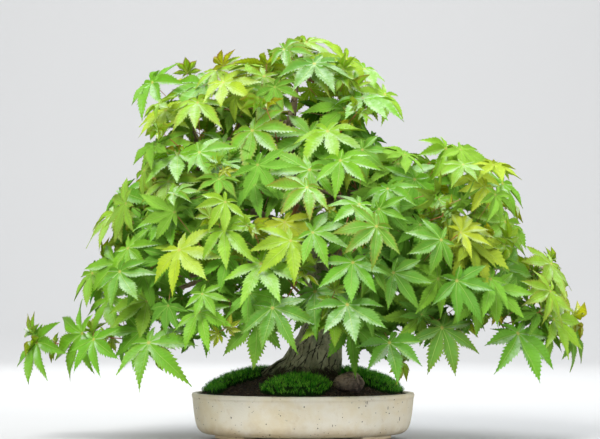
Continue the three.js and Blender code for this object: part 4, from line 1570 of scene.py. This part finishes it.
@dataclass(frozen=True)
class LeafForm:
    """The outline and the relief of a maple leaf, in shares of its reach."""

    lobes: tuple[Lobe, ...] = (
        Lobe(-136, 0.40, 5), Lobe(-85, 0.78, 9), Lobe(-43, 0.95, 11), Lobe(0, 1.0, 12),
        Lobe(43, 0.95, 11), Lobe(85, 0.78, 9), Lobe(136, 0.40, 5),
    )
    sinus: float = 0.24
    outer_sinus: float = 0.15
    notch: float = 0.07
    droop: float = 0.20
    fold: float = 0.06
    relief: float = 1.2
    tooth: float = 0.0285
    ripple: float = 0.013
    quilt: float = 0.0045
    spread: LeafChance = LeafChance()

    def solid_outline(self) -> Array:
        """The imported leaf's outline.

        Returns:
            Rows of across, along and rise, anticlockwise from its notch.
        """
        rows = [(180, self.notch, 0.0), (136, 0.40, -0.06)]
        large = [lobe for lobe in reversed(self.lobes) if abs(lobe.bearing) < 100]
        off = math.degrees(math.atan2(0.16, 0.5))
        for i, lobe in enumerate(large):
            far = math.hypot(0.5, 0.16) * lobe.length
            rise = self.fold - self.droop * (0.5 * lobe.length) ** 2
            rows.append((lobe.bearing + off, far, rise))
            rows.append((lobe.bearing, lobe.length, -self.droop * lobe.length**2))
            rows.append((lobe.bearing - off, far, rise))
            if i + 1 < len(large):
                rows.append(((lobe.bearing + large[i + 1].bearing) / 2, self.sinus, 0.05))
        rows.append((-136, 0.40, -0.06))
        bearing, reach, rise = np.array(rows).T
        turn = np.radians(bearing)
        return np.stack([reach * np.sin(turn), reach * np.cos(turn), rise], -1)

    def edge_line(self, lobe: Lobe, turn: float, sinus: float) -> Array:
        """One edge of a lobe from the leaf's middle to its tip.

        Args:
            lobe: The lobe.
            turn: Half the angle to its neighbour, in radians.
            sinus: How far out the two part.

        Returns:
            Rows of distance along the rib, distance from it, the rib place that a row starts from, and
            1 where a vein ends in a tooth. The first two rows are shared with the neighbour.
        """
        length, widest = lobe.length, lobe.half * lobe.length
        start, wide = sinus * math.cos(turn), sinus * math.sin(turn)
        rows = [(0.5 * start, 0.5 * wide, 0.36 * start, 0.0), (start, wide, 0.70 * start, 0.0)]
        run = length - start
        for k in range(lobe.teeth):
            for part, peak in ((0.30, 0.0), (0.92, 1.0)):
                share = (k + part) / (lobe.teeth + 0.25)
                along = start + run * share
                place = along / length
                if place < 0.5:
                    ease = math.sin(0.5 * math.pi * (along - start) / (0.5 * length - start))
                    half = wide + (widest - wide) * ease
                else:
                    beyond = (place - 0.5) / 0.5
                    half = widest * (1 - beyond) ** 1.35 * (1 + 0.62 * beyond)
                tooth = self.tooth * length * min(1.0, 2.4 * (1 - place) + 0.12)
                tooth *= 1.25 if k % 2 else 0.85
                rib = along - (0.60 + 0.30 * min(1.0, 3 * (along - start) / run)) * half
                half = max(half + (tooth if peak else -0.45 * tooth), 0.003)
                forward = along + (0.9 * tooth if peak else -0.2 * tooth)
                rows.append((min(forward, 0.985 * length), half, rib, peak))
        return np.array(rows)


@dataclass(frozen=True)
class LeafNet:
    """The points and faces that every leaf shares, laid out flat."""

    lobe: Array
    along: Array
    beside: Array
    out: Array
    side: Array
    vein: Array
    faces: list[Array]

    @staticmethod
    def of(form: LeafForm) -> LeafNet:
        """Lays out a leaf's points and faces.

        Args:
            form: The leaf's outline.

        Returns:
            The net. Points on the line between two lobes are shared.
        """
        rows: list[tuple[float, ...]] = [(0, 0.0, 0.0, 0.0, 0.0, 0.0)]
        quads: list[tuple[int, ...]] = []
        lobes = form.lobes
        count = len(lobes)
        shared: dict[tuple[int, int], int] = {}
        middle = 0

        def add(lobe: int, along: float, beside: float, side: float, vein: float) -> int:
            """Lays down a point and tells its number."""
            rows.append((lobe, along, beside, along / lobes[lobe].length, side, vein))
            return len(rows) - 1

        for i, lobe in enumerate(lobes):
            sides = []
            for sign in (-1, 1):
                other = lobes[(i + sign) % count]
                gap = (sign * (other.bearing - lobe.bearing)) % 360
                outer = abs(lobe.bearing + other.bearing) > 200
                sinus = form.notch if gap > 80 else form.outer_sinus if outer else form.sinus
                sides.append(form.edge_line(lobe, math.radians(gap / 2), sinus))
            length = min(len(s) for s in sides)
            first, second = sides
            ribs = [add(i, (first[k, 2] + second[k, 2]) / 2, 0.0, 0.0, first[k, 3]) for k in range(length)]
            tip = add(i, lobe.length, 0.0, 0.0, 0.0)
            for sign, line in zip((-1, 1), sides):
                edge = (i, (i + 1) % count) if sign > 0 else ((i - 1) % count, i)
                previous = (middle, middle, middle)
                for k in range(length):
                    far, half, _, peak = line[k]
                    key = (edge[0] * count + edge[1], k)
                    if k < 2 and key in shared:
                        rim = shared[key]
                    else:
                        rim = add(i, far, sign * half, sign * 1.0, peak)
                        if k < 2:
                            shared[key] = rim
                    inner = add(i, 0.5 * (far + rows[ribs[k]][1]), sign * 0.5 * half, sign * 0.5, peak)
                    current = (ribs[k], inner, rim)
                    for a in (0, 1):
                        face = (previous[a], current[a], current[a + 1], previous[a + 1])
                        quads.append(face if sign > 0 else face[::-1])
                    previous = current
                for a in (0, 1):
                    face = (previous[a], tip, tip, previous[a + 1])
                    quads.append(face if sign > 0 else face[::-1])
        table = np.array(rows)
        four, three = [], []
        for face in quads:
            kept = [v for k, v in enumerate(face) if v != face[k - 1]]
            (four if len(kept) == 4 else three).append(kept)
        return LeafNet(table[:, 0].astype(int), *table[:, 1:].T, [np.array(four), np.array(three)])


@dataclass
class Leaf:
    """One leaf: where its stalk ends, its axes, its reach in metres, its stalk's root, its tints and its
    painted shade.
    """

    end: Array
    along: Array
    across: Array
    normal: Array
    reach: float
    root: Array
    tone: float = 0.5
    blush: float = 0.0
    shade: float = 0.0

    def outline(self, form: LeafForm) -> Array:
        """The outline's points."""
        flat = form.solid_outline() * self.reach
        return self.end + flat @ np.stack([self.across, self.along, self.normal])

    def blade(self, form: LeafForm, net: LeafNet, lot: random.Random) -> Shape:
        """The fine blade.

        Args:
            form: The leaf's form.
            net: The shared layout.
            lot: Where this leaf's chances come from.

        Returns:
            The blade, with marks for its veins and tints.
        """
        spread, count = form.spread, len(form.lobes)

        def chance(much: float) -> Array:
            """One chance a lobe, at each of its points."""
            return np.array([lot.gauss(0, much) for _ in range(count)])[net.lobe]

        bearing = np.radians([lobe.bearing for lobe in form.lobes])[net.lobe]
        ends = np.array([lobe.length for lobe in form.lobes])[net.lobe]
        past = smooth(0.15, 0.6, net.out)
        share = np.abs(net.side)
        ragged = np.array([lot.uniform(-1, 1) for _ in range(61)])[np.arange(len(net.side)) % 61]
        along = net.along * (1 + np.clip(chance(spread.length), -0.09, 0.06) * past)
        wider = np.clip(chance(spread.width), -0.18, 0.18) * past
        beside = net.beside * (1 + wider + spread.edge * ragged * past * (share == 1))
        bearing = bearing + np.clip(chance(spread.bearing), -0.11, 0.11) * past
        beside = beside + chance(spread.bow) * ends * net.out**2 * past
        droop = form.droop * np.clip(1 + lot.gauss(0, spread.whole) + chance(spread.droop), 0.1, 2.6)
        more = np.clip(1 + lot.gauss(0, spread.whole) + chance(spread.fold), 0.2, 1.9)
        fold = form.fold * form.relief * more
        ridge = np.minimum(1, net.out / 0.27) * np.minimum(1, (1.02 - net.out) / 0.45)
        rise = fold * np.clip(ridge, 0, 1) * share**1.15 - droop * along**2
        twist = chance(spread.twist) * net.out
        rise = rise + beside * np.sin(twist)
        phase = lot.uniform(0, 6.28)
        waves = np.sin(net.out * 11 + phase + net.lobe * 1.7 + net.side)
        rise = rise + form.ripple * share * past * waves
        quilt = np.where(share == 0.5, 1.0, 0.0) * (0.5 - net.vein) * form.quilt
        rise = rise + quilt * past
        curl = lot.gauss(0, spread.curl)
        x = along * np.sin(bearing) + beside * np.cos(bearing)
        y = along * np.cos(bearing) - beside * np.sin(bearing)
        rise = rise + curl * (x**2 - y**2)
        local = np.stack([x, y, rise], -1) * self.reach
        points = self.end + local @ np.stack([self.across, self.along, self.normal])
        off_rib = np.abs(net.beside) * self.reach / MM
        marks = {
            "blade": np.stack([off_rib, net.out * ends, share], -1),
            "vein": net.vein,
            "tint": np.tile((self.tone, self.blush, self.shade), (len(points), 1)),
        }
        return Shape(points, net.faces, marks)

    def stalk(self, lot: random.Random) -> Shape:
        """The leaf's stalk, a little bowed, with a wider foot.

        Args:
            lot: Where its chances come from.

        Returns:
            The stalk.
        """
        start, stop = self.root, self.end - 0.25 * MM * self.normal
        steps = np.linspace(0, 1, 9)[:, None]
        length = float(np.linalg.norm(stop - start))
        sag = np.array((0.0, 0.0, 1.0)) * lot.uniform(-0.02, 0.10) * length
        path = start + (stop - start) * steps + sag * 4 * steps * (1 - steps)
        flat = steps[:, 0]
        halves = MM * (0.42 + 0.42 * (1 - flat) ** 6 + 0.25 * flat**8)
        tube = Shape.tube(path, halves, 6)
        run = tube.marks.pop("run")
        red = np.clip(lot.uniform(0.25, 1.0) + 0.15 * np.sin(run * 9), 0, 1)
        tube.marks["twig"] = np.stack([red, np.clip(0.25 - run, 0, 1), np.zeros(len(run))], -1)
        return tube


@dataclass(frozen=True)
class Accent:
    """A place in the crown where leaves have a colour of their own. Metres."""

    x: float
    z: float
    tone: float
    blush: float
    half: float = 0.03


@dataclass
class Shadow:
    """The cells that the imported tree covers, seen along each of the three axes."""

    cell: float
    low: Array
    maps: dict[tuple[int, int], Array]

    @staticmethod
    def of(skins: Sequence[tuple[Array, Array]], cell: float = 0.005) -> Shadow:
        """Marks the cells under every triangle.

        Args:
            skins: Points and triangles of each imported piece.
            cell: The side of a cell in metres.

        Returns:
            The covered cells along each axis.
        """
        shares = [(i / 8, j / 8) for i in range(9) for j in range(9 - i)]
        spots = []
        for points, triangles in skins:
            a, b, c = points[triangles].transpose(1, 0, 2)
            spots += [a + u * (b - a) + v * (c - a) for u, v in shares]
        every = np.concatenate(spots)
        low = every.min(0) - 3 * cell
        cells = np.floor((every - low) / cell).astype(int)
        size = cells.max(0) + 4
        maps = {}
        for pair in ((0, 2), (1, 2), (0, 1)):
            seen = np.zeros((size[pair[0]], size[pair[1]]), bool)
            seen[cells[:, pair[0]], cells[:, pair[1]]] = True
            maps[pair] = seen
        return Shadow(cell, low, maps)

    def hides(self, points: Array) -> float:
        """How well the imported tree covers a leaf.

        Args:
            points: Places on the leaf.

        Returns:
            The least share of them that is covered along any axis.
        """
        cells = np.floor((points - self.low) / self.cell).astype(int)
        least = 1.0
        for (first, second), seen in self.maps.items():
            i = np.clip(cells[:, first], 0, seen.shape[0] - 1)
            j = np.clip(cells[:, second], 0, seen.shape[1] - 1)
            least = min(least, float(seen[i, j].mean()))
        return least


@dataclass
class Shoot:
    """One leafy shoot: its node, its leaves, and the two ends of its twig."""

    node: str
    leaves: list[Leaf]
    start: Array
    tip: Array


@dataclass
class Crown:
    """All the leafy shoots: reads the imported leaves, adds inner ones, and grows fine blades in place."""

    wood: BVHTree
    form: LeafForm = field(default_factory=LeafForm)
    young: LeafForm = field(
        default_factory=lambda: LeafForm(
            lobes=tuple(Lobe(old.bearing, old.length, old.teeth // 2 + 1, 0.17) for old in LeafForm().lobes),
            relief=4.2, droop=0.12,
        )
    )
    twig_rise: float = 0.07
    extra: int = 13
    tries: int = 420
    hidden: float = 0.96
    inner_reach: Pair = (0.032, 0.050)
    inner_depth: Pair = (0.006, 0.065)
    lowest: float = 0.078
    apart: float = 0.012
    accents: tuple[Accent, ...] = (
        Accent(-0.026, 0.248, 0.98, 0.15, 0.022), Accent(0.178, 0.238, 0.97, 0.1, 0.024),
        Accent(-0.128, 0.225, 0.9, 0.0, 0.026),
        Accent(0.205, 0.30, 0.95, 0.05, 0.022), Accent(0.218, 0.238, 0.6, 0.5, 0.02),
        Accent(0.015, 0.279, 0.5, 0.9, 0.018), Accent(-0.05, 0.381, 0.45, 0.7, 0.03),
        Accent(-0.19, 0.30, 0.75, 0.75, 0.04), Accent(-0.235, 0.262, 0.7, 0.6, 0.03),
        Accent(0.285, 0.205, 0.75, 0.7, 0.035), Accent(0.03, 0.13, 0.72, 0.45, 0.02),
    )

    def read(self, node: str) -> Shoot:
        """Finds a packed shoot's leaves and twig ends in its mesh.

        Args:
            node: The shoot's node.

        Returns:
            The shoot. Each leaf's place comes from fitting the known outline to the fan round its middle.
        """
        points, triangles = welded(node)
        following: dict[int, dict[int, int]] = {}
        for a, b, c in triangles.tolist():
            following.setdefault(a, {})[b] = c
            following.setdefault(b, {})[c] = a
            following.setdefault(c, {})[a] = b
        pattern = self.form.solid_outline()
        system = np.concatenate([np.ones((len(pattern), 1)), pattern], 1)
        used: set[int] = set()
        leaves = []
        for middle, after in following.items():
            if len(after) != len(pattern):
                continue
            ring = [min(after, key=lambda v: float(np.linalg.norm(points[v] - points[middle])))]
            while len(ring) < len(pattern) and after.get(ring[-1]) is not None:
                ring.append(after[ring[-1]])
            if len(set(ring)) != len(pattern):
                continue
            fitted, *_ = np.linalg.lstsq(system, points[ring], rcond=None)
            missed = float(np.abs(system @ fitted - points[ring]).max())
            if missed > 0.0012:
                continue
            reach = float(np.linalg.norm(fitted[2]))
            along = unit(fitted[2])
            across = unit(fitted[1] - np.dot(fitted[1], along) * along)
            normal = np.cross(across, along)
            joints = {w for v in ring for w in following[v]} - set(ring) - {middle}
            roots = {w for v in joints for w in following[v]} - joints - set(ring) - {middle}
            used |= {middle, *ring, *joints}
            root = points[list(roots)].mean(0) if roots else fitted[0] - 0.02 * normal
            leaves.append(Leaf(fitted[0], along, across, normal, reach, root))
        rest = points[[v for v in range(len(points)) if v not in used]]
        gaps = [self.wood.find_nearest(Vector(p))[3] for p in rest]
        nearest = rest[int(np.argmin(gaps))]
        start = rest[np.linalg.norm(rest - nearest, axis=1) < 0.004].mean(0)
        far = rest[int(np.argmax(np.linalg.norm(rest - start, axis=1)))]
        tip = rest[np.linalg.norm(rest - far, axis=1) < 0.004].mean(0)
        return Shoot(node, leaves, start, tip)

    def twig_line(self, shoot: Shoot) -> Array:
        """The bowed middle line of a shoot's twig.

        Args:
            shoot: The shoot.

        Returns:
            Rows of x, y, z from its start to its tip.
        """
        bow = (shoot.start + shoot.tip) / 2
        bow = bow + np.array((0, 0, 1)) * self.twig_rise * np.linalg.norm(shoot.tip - shoot.start)
        t = np.linspace(0, 1, 17)[:, None]
        return (1 - t) ** 2 * shoot.start + 2 * t * (1 - t) * bow + t**2 * shoot.tip

    def fill(self, shoots: list[Shoot]) -> None:
        """Adds inner leaves to each shoot where they clear every other blade.

        Args:
            shoots: The leafy shoots.
        """
        blades = [self.net_of(leaf) for shoot in shoots for leaf in shoot.leaves]
        middles = [leaf.end for shoot in shoots for leaf in shoot.leaves]
        shadow = Shadow.of([welded(shoot.node) for shoot in shoots])
        for number, shoot in enumerate(shoots):
            facing = unit(sum((leaf.normal for leaf in shoot.leaves), np.zeros(3)))
            centre = np.mean([leaf.end for leaf in shoot.leaves], axis=0)
            line = self.twig_line(shoot)
            added = 0
            for attempt in range(self.tries):
                if added >= self.extra:
                    break
                lot = hashed(97, number, attempt)
                spread = np.array([lot.gauss(0, 0.034) for _ in range(3)])
                end = centre + spread - facing * lot.uniform(*self.inner_depth)
                base = shoot.leaves[lot.randrange(len(shoot.leaves))]
                turn = lot.gauss(0, 0.8)
                tilt = unit(base.normal + 0.35 * np.array([lot.gauss(0, 1) for _ in range(3)]))
                along = base.along * math.cos(turn) + base.across * math.sin(turn)
                along = unit(along - np.dot(along, tilt) * tilt)
                reach = lot.uniform(*self.inner_reach)
                root = line[lot.randrange(8, 16)]
                leaf = Leaf(end, along, np.cross(along, tilt), tilt, reach, root)
                rim = leaf.outline(self.form)
                if rim[:, 2].min() < self.lowest:
                    continue
                if shadow.hides(np.concatenate([rim, (rim + end) / 2])) < self.hidden:
                    continue
                if self.wood.find_nearest(Vector(end))[3] < self.apart or np.dot(end - root, tilt) < 0.004:
                    continue
                search = self.net_of(leaf)
                gaps = [float(np.linalg.norm(middle - end)) for middle in middles]
                near = [k for k, gap in enumerate(gaps) if gap < 0.12]
                if any(gaps[k] < self.apart or blades[k].overlap(search) for k in near):
                    continue
                if search.overlap(self.wood):
                    continue
                # painted shade for most inner leaves, chosen at random
                leaf.shade = lot.uniform(0.3, 0.75) if lot.random() < 0.7 else 0.1
                shoot.leaves.append(leaf)
                blades.append(search)
                middles.append(end)
                added += 1

    def net_of(self, leaf: Leaf) -> BVHTree:
        """A search tree over a leaf's plain blade.

        Args:
            leaf: The leaf.

        Returns:
            The search tree.
        """
        rim = leaf.outline(self.form)
        points = np.concatenate([rim, leaf.end[None]])
        count = len(rim)
        return tree_of(points, np.array([(count, i, (i + 1) % count) for i in range(count)]))

    def tint(self, shoots: list[Shoot], cover: BVHTree) -> None:
        """Gives each leaf its tints by its place in the crown and by chance, and painted shade by how much
        other leaves keep light from it.

        Args:
            shoots: The leafy shoots.
            cover: Every plain blade.
        """
        for number, shoot in enumerate(shoots):
            for k, leaf in enumerate(shoot.leaves):
                lot = hashed(11, number, k)
                x, y, z = leaf.end
                leaf.tone = 0.40 + 0.21 * lot.gauss(0, 1)
                leaf.tone = leaf.tone + 0.20 * smooth(0.2, 0.42, z) - 0.20 * smooth(0.2, 0.08, z)
                leaf.tone += 0.10 * float(smooth(0.05, 0.25, x))
                leaf.tone += 0.10 * float(noise_at(leaf.end[None], 0.12, 1, 5.0)[0])
                leaf.blush = max(0.0, lot.gauss(0.08, 0.20))
                leaf.blush += 0.75 * float(smooth(0.24, 0.42, z)) * lot.random() ** 1.3
                for accent in self.accents:
                    if y < 0 and math.hypot(x - accent.x, z - accent.z) < accent.half:
                        leaf.tone, leaf.blush = accent.tone, accent.blush
                if y >= 0 and lot.random() < 0.06:
                    leaf.tone = 0.92
                leaf.tone = float(np.clip(leaf.tone, 0.02, 1.0))
                leaf.blush = float(np.clip(leaf.blush, 0, 1))
                # painted shade: darker the more rays other leaves block
                painted_shade = float(smooth(0.3, 0.95, self.painted_shade(leaf, cover)))
                leaf.shade = max(leaf.shade, 0.75 * painted_shade)

    @staticmethod
    def painted_shade(leaf: Leaf, cover: BVHTree) -> float:
        """How much light from above and in front other leaves keep from a leaf, which sets its painted
        shade.

        Args:
            leaf: The leaf.
            cover: Every plain blade.

        Returns:
            The share that they keep from it.
        """
        blocked, rays = 0, 24
        for k in range(rays):
            rise, turn = 0.15 + 0.85 * (k + 0.5) / rays, 2.4 * k
            flat = math.sqrt(1 - rise * rise)
            ray = Vector((flat * math.cos(turn), flat * math.sin(turn) - 0.35, rise)).normalized()
            start = Vector(leaf.end + 0.35 * leaf.reach * leaf.along) + ray * 0.012
            blocked += cover.ray_cast(start, ray, 0.2)[0] is not None
        return blocked / rays

    def sprays(self, shoots: list[Shoot], cover: BVHTree) -> tuple[list[Shape], list[Shape]]:
        """Young growth past the twigs' tips: a thin red stem with small folded bronze leaves.

        Args:
            shoots: The leafy shoots.
            cover: Every blade, to find the tips that are in the open.

        Returns:
            The small blades, and their stems.
        """
        net, blades, stems = LeafNet.of(self.young), [], []
        for number, shoot in enumerate(shoots):
            lot = hashed(67, number)
            line = self.twig_line(shoot)
            outward = unit((shoot.tip - np.array((0.0, 0.0, 0.24))) * (1, 1, 0.6))
            level = Vector(unit(outward * (1, 1, 0)))
            for _ in range(60):
                aside = np.array([lot.gauss(0, 0.5), lot.gauss(0, 0.5), lot.uniform(0.0, 1.3)])
                aim = unit(0.9 * outward + aside)
                length = lot.uniform(0.030, 0.062)
                blocked = cover.ray_cast(Vector(shoot.tip + 0.003 * aim), Vector(aim), length + 0.03)[0]
                far = Vector(shoot.tip + length * aim)
                if blocked is None and cover.ray_cast(far, level, 0.2)[0] is None:
                    break
            else:
                continue
            steps = np.linspace(0, 1, 8)[:, None]
            sway = np.array([lot.gauss(0, 0.12), lot.gauss(0, 0.12), 0.0]) * length
            stem = line[-1] + aim * length * steps + sway * steps**2
            tube = Shape.tube(stem, MM * np.linspace(0.75, 0.4, 8), 6)
            stems.append(tube.marked("twig", (0.95, 0.0, 0.0)))
            side = unit(np.cross(aim, (lot.gauss(0, 1), lot.gauss(0, 1), 0.3)))
            for k in range(lot.choice((2, 3, 4))):
                turn = math.pi * k + (0.5 * math.pi if k > 1 else 0)
                out = side * math.cos(turn) + np.cross(aim, side) * math.sin(turn)
                root = stem[-1 if k < 2 else 4]
                lean = unit(aim * lot.uniform(0.3, 0.9) + out)
                end = root + lean * lot.uniform(0.004, 0.010)
                along = unit(lean + aim * lot.uniform(-0.7, 0.5))
                normal = unit(aim - np.dot(aim, along) * along)
                reach = lot.uniform(0.012, 0.026)
                leaf = Leaf(end, along, np.cross(along, normal), normal, reach, root)
                leaf.tone, leaf.blush = lot.uniform(0.5, 1.0), lot.uniform(0.35, 1.0)
                blades.append(leaf.blade(self.young, net, hashed(71, number, k)))
                stems.append(leaf.stalk(hashed(73, number, k)))
        LOG.info("young leaves: %d", len(blades))
        return blades, stems

    def twig(self, shoot: Shoot, number: int) -> Shape:
        """A shoot's twig with knots, and a pair of buds at its tip.

        Args:
            shoot: The shoot.
            number: Its number, for its chances.

        Returns:
            The twig and its buds.
        """
        lot = hashed(23, number)
        line = self.twig_line(shoot)
        inward = line[0] - line[1]
        line = np.concatenate([[line[0] + unit(inward) * 2.5 * MM], line])
        steps = np.linspace(0, 1, len(line))
        knots = 0.22 * np.maximum(0, np.cos(steps * 2 * math.pi * 4)) ** 8
        tube = Shape.tube(line, MM * (1.75 - 0.75 * steps + knots), 8)
        run = tube.marks.pop("run")
        red = np.full(len(run), lot.uniform(0.3, 0.9))
        tube.marks["twig"] = np.stack([red, smooth(0.95, 0.35, run), 0 * run], -1)
        parts = [tube]
        forward = unit(line[-1] - line[-3])
        side = unit(np.cross(forward, (0.2, 0.9, 0.3)))
        share = np.linspace(0, 1, 7)
        halves = MM * (0.25 + 1.0 * np.sin(math.pi * share**0.7) ** 1.2 * (1 - 0.4 * share))
        for sign in (-1, 1):
            path = line[-1] + np.outer(np.linspace(0, 4.5 * MM, 7), unit(forward + 0.45 * sign * side))
            parts.append(Shape.tube(path, halves, 6).marked("twig", (0.8, 0.0, 0.8)))
        return Shape.joined(parts)

    def dress(self) -> None:
        """Adds the leaves of every shoot, and one piece with all the twigs and stalks."""
        shoots = [self.read(node) for node in sorted(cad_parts) if node.startswith("shoot_")]
        LOG.info("packed leaves: %d", sum(len(s.leaves) for s in shoots))
        self.fill(shoots)
        LOG.info("with inner leaves: %d", sum(len(s.leaves) for s in shoots))
        leaves = [leaf for shoot in shoots for leaf in shoot.leaves]
        rims = np.array([np.concatenate([leaf.outline(self.form), leaf.end[None]]) for leaf in leaves])
        count = rims.shape[1]
        fan = np.array([(count - 1, i, (i + 1) % (count - 1)) for i in range(count - 1)])
        fans = fan + count * np.arange(len(leaves))[:, None, None]
        cover = tree_of(rims.reshape(-1, 3), fans.reshape(-1, 3))
        self.tint(shoots, cover)
        net = LeafNet.of(self.form)
        young, stems = self.sprays(shoots, cover)
        piece("young_leaves", Shape.joined(young).mesh("young_leaves"), LeafSkin(), "leaf")
        for number, shoot in enumerate(shoots):
            blades = []
            for k, leaf in enumerate(shoot.leaves):
                blades.append(leaf.blade(self.form, net, hashed(3, number, k)))
                stems.append(leaf.stalk(hashed(5, number, k)))
            stems.append(self.twig(shoot, number))
            name = shoot.node.replace("shoot", "leaves")
            piece(name, Shape.joined(blades).mesh(name), LeafSkin(), "leaf", [shoot.node])
        piece("twigs_and_stalks", Shape.joined(stems).mesh("twigs_and_stalks"), TwigSkin(), "bark")


# ---- studio


@dataclass
class SoftLight:
    """A square lamp: its place, its side in metres, its power and its colour."""

    place: tuple[float, float, float]
    side: float
    power: float
    colour: Colour = (1.0, 1.0, 1.0)
    aim: tuple[float, float, float] = (0.0, 0.0, 0.22)

    def hang(self, name: str) -> None:
        """Adds the lamp.

        Args:
            name: Its name.
        """
        lamp = bpy.data.lights.new(name, "AREA")
        lamp.size = self.side
        lamp.energy = self.power
        lamp.color = self.colour
        made = placed(name, lamp)
        made.location = self.place
        made.rotation_mode = "QUATERNION"
        made.rotation_quaternion = (Vector(self.aim) - Vector(self.place)).to_track_quat("-Z", "Y")


@dataclass
class Studio:
    """A pale floor, soft light and the photograph's camera."""

    camera_at: tuple[float, float, float] = (-0.0035, -1.8, 0.154)
    pitch: float = 3.28
    lens: float = 92.0
    floor_sides: int = 96
    floor_bend: float = 1.6
    lights: dict[str, SoftLight] = field(
        default_factory=lambda: {
            "key_light": SoftLight((-0.8, -1.7, 2.0), 1.0, 78.0, (1.0, 0.985, 0.95)),
            "top_light": SoftLight((0.2, 0.1, 2.3), 1.9, 68.0, (0.95, 0.98, 1.0)),
            "fill_light": SoftLight((1.8, -1.5, 1.2), 1.4, 40.0, (0.98, 0.985, 1.0)),
            "side_light": SoftLight((-2.0, -0.9, 1.3), 1.2, 16.0, (1.0, 0.99, 0.95)),
            "back_light": SoftLight((-0.6, 2.0, 1.6), 1.8, 16.0, (1.0, 0.99, 0.97)),
            "wall_light": SoftLight((0.0, 1.4, 2.6), 2.6, 130.0, (1.0, 1.0, 1.0), (0.0, 4.4, 1.0)),
        }
    )

    def floor(self) -> None:
        """Adds the floor, a wide disc that sweeps up all round."""
        turns, bend = circle(self.floor_sides), self.floor_bend
        arc = np.radians(np.linspace(0, 80, 17))
        sweep = [(2.6 + bend * math.sin(a), bend * (1 - math.cos(a))) for a in arc]
        rows = [(0.5, 0.0), (1.5, 0.0), *sweep, (sweep[-1][0] + 0.25, sweep[-1][1] + 1.4)]
        rings = [np.stack([r * np.cos(turns), r * np.sin(turns), 0 * turns + z], -1) for r, z in rows]
        shape = Shape.grid(np.array(rings)[::-1])
        shape.faces.append(((len(rows) - 1) * self.floor_sides + np.arange(self.floor_sides))[None])
        mesh = shape.mesh("studio_floor")
        mesh.materials.append(StudioFloor().material())
        floor = placed("studio_floor", mesh)

    def set_up(self) -> None:
        """Adds floor, light and camera, and sets how colours are shown."""
        scene = bpy.context.scene
        self.floor()
        for name, light in self.lights.items():
            light.hang(name)
        world = bpy.data.worlds.new("studio")
        world.use_nodes = True
        sky = world.node_tree.nodes["Background"]
        sky.inputs["Color"].default_value = (0.80, 0.83, 0.87, 1.0)
        sky.inputs["Strength"].default_value = 0.2
        scene.world = world
        data = bpy.data.cameras.new("photo_camera")
        data.lens = self.lens
        data.sensor_width = 36.0
        data.clip_end = 100.0
        camera = placed("photo_camera", data)
        camera.location = self.camera_at
        camera.rotation_euler = (math.radians(90 + self.pitch), 0.0, 0.0)
        scene.camera = camera
        scene.view_settings.view_transform = "Standard"


def main() -> None:
    """Builds and dresses every piece in order."""
    logging.basicConfig(level=logging.INFO, format="%(name)s %(message)s")
    trunk = tree_of(*welded("trunk_and_branches"))
    pads = [MossPad(node) for node in sorted(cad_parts) if node.startswith("moss_")]
    for pad in pads:
        if pad.node == "moss_front":
            pad.sunk, pad.tall = 5.4, (2.6, 6.4)
    low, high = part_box("stone")
    bed = SoilBed()
    covers = [tree_of(*welded(pad.node)) for pad in pads]
    ground = Ground(trunk, covers, ((low + high) / 2, (high - low) / 2), bed)
    OvalPot().dress()
    bed.dress(ground)
    for pad in pads:
        pad.dress(ground)
    PotStone().dress()
    Wood().dress(ground)
    Crown(trunk).dress()
    Studio().set_up()
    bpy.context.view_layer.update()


if __name__ == "__main__":
    main()
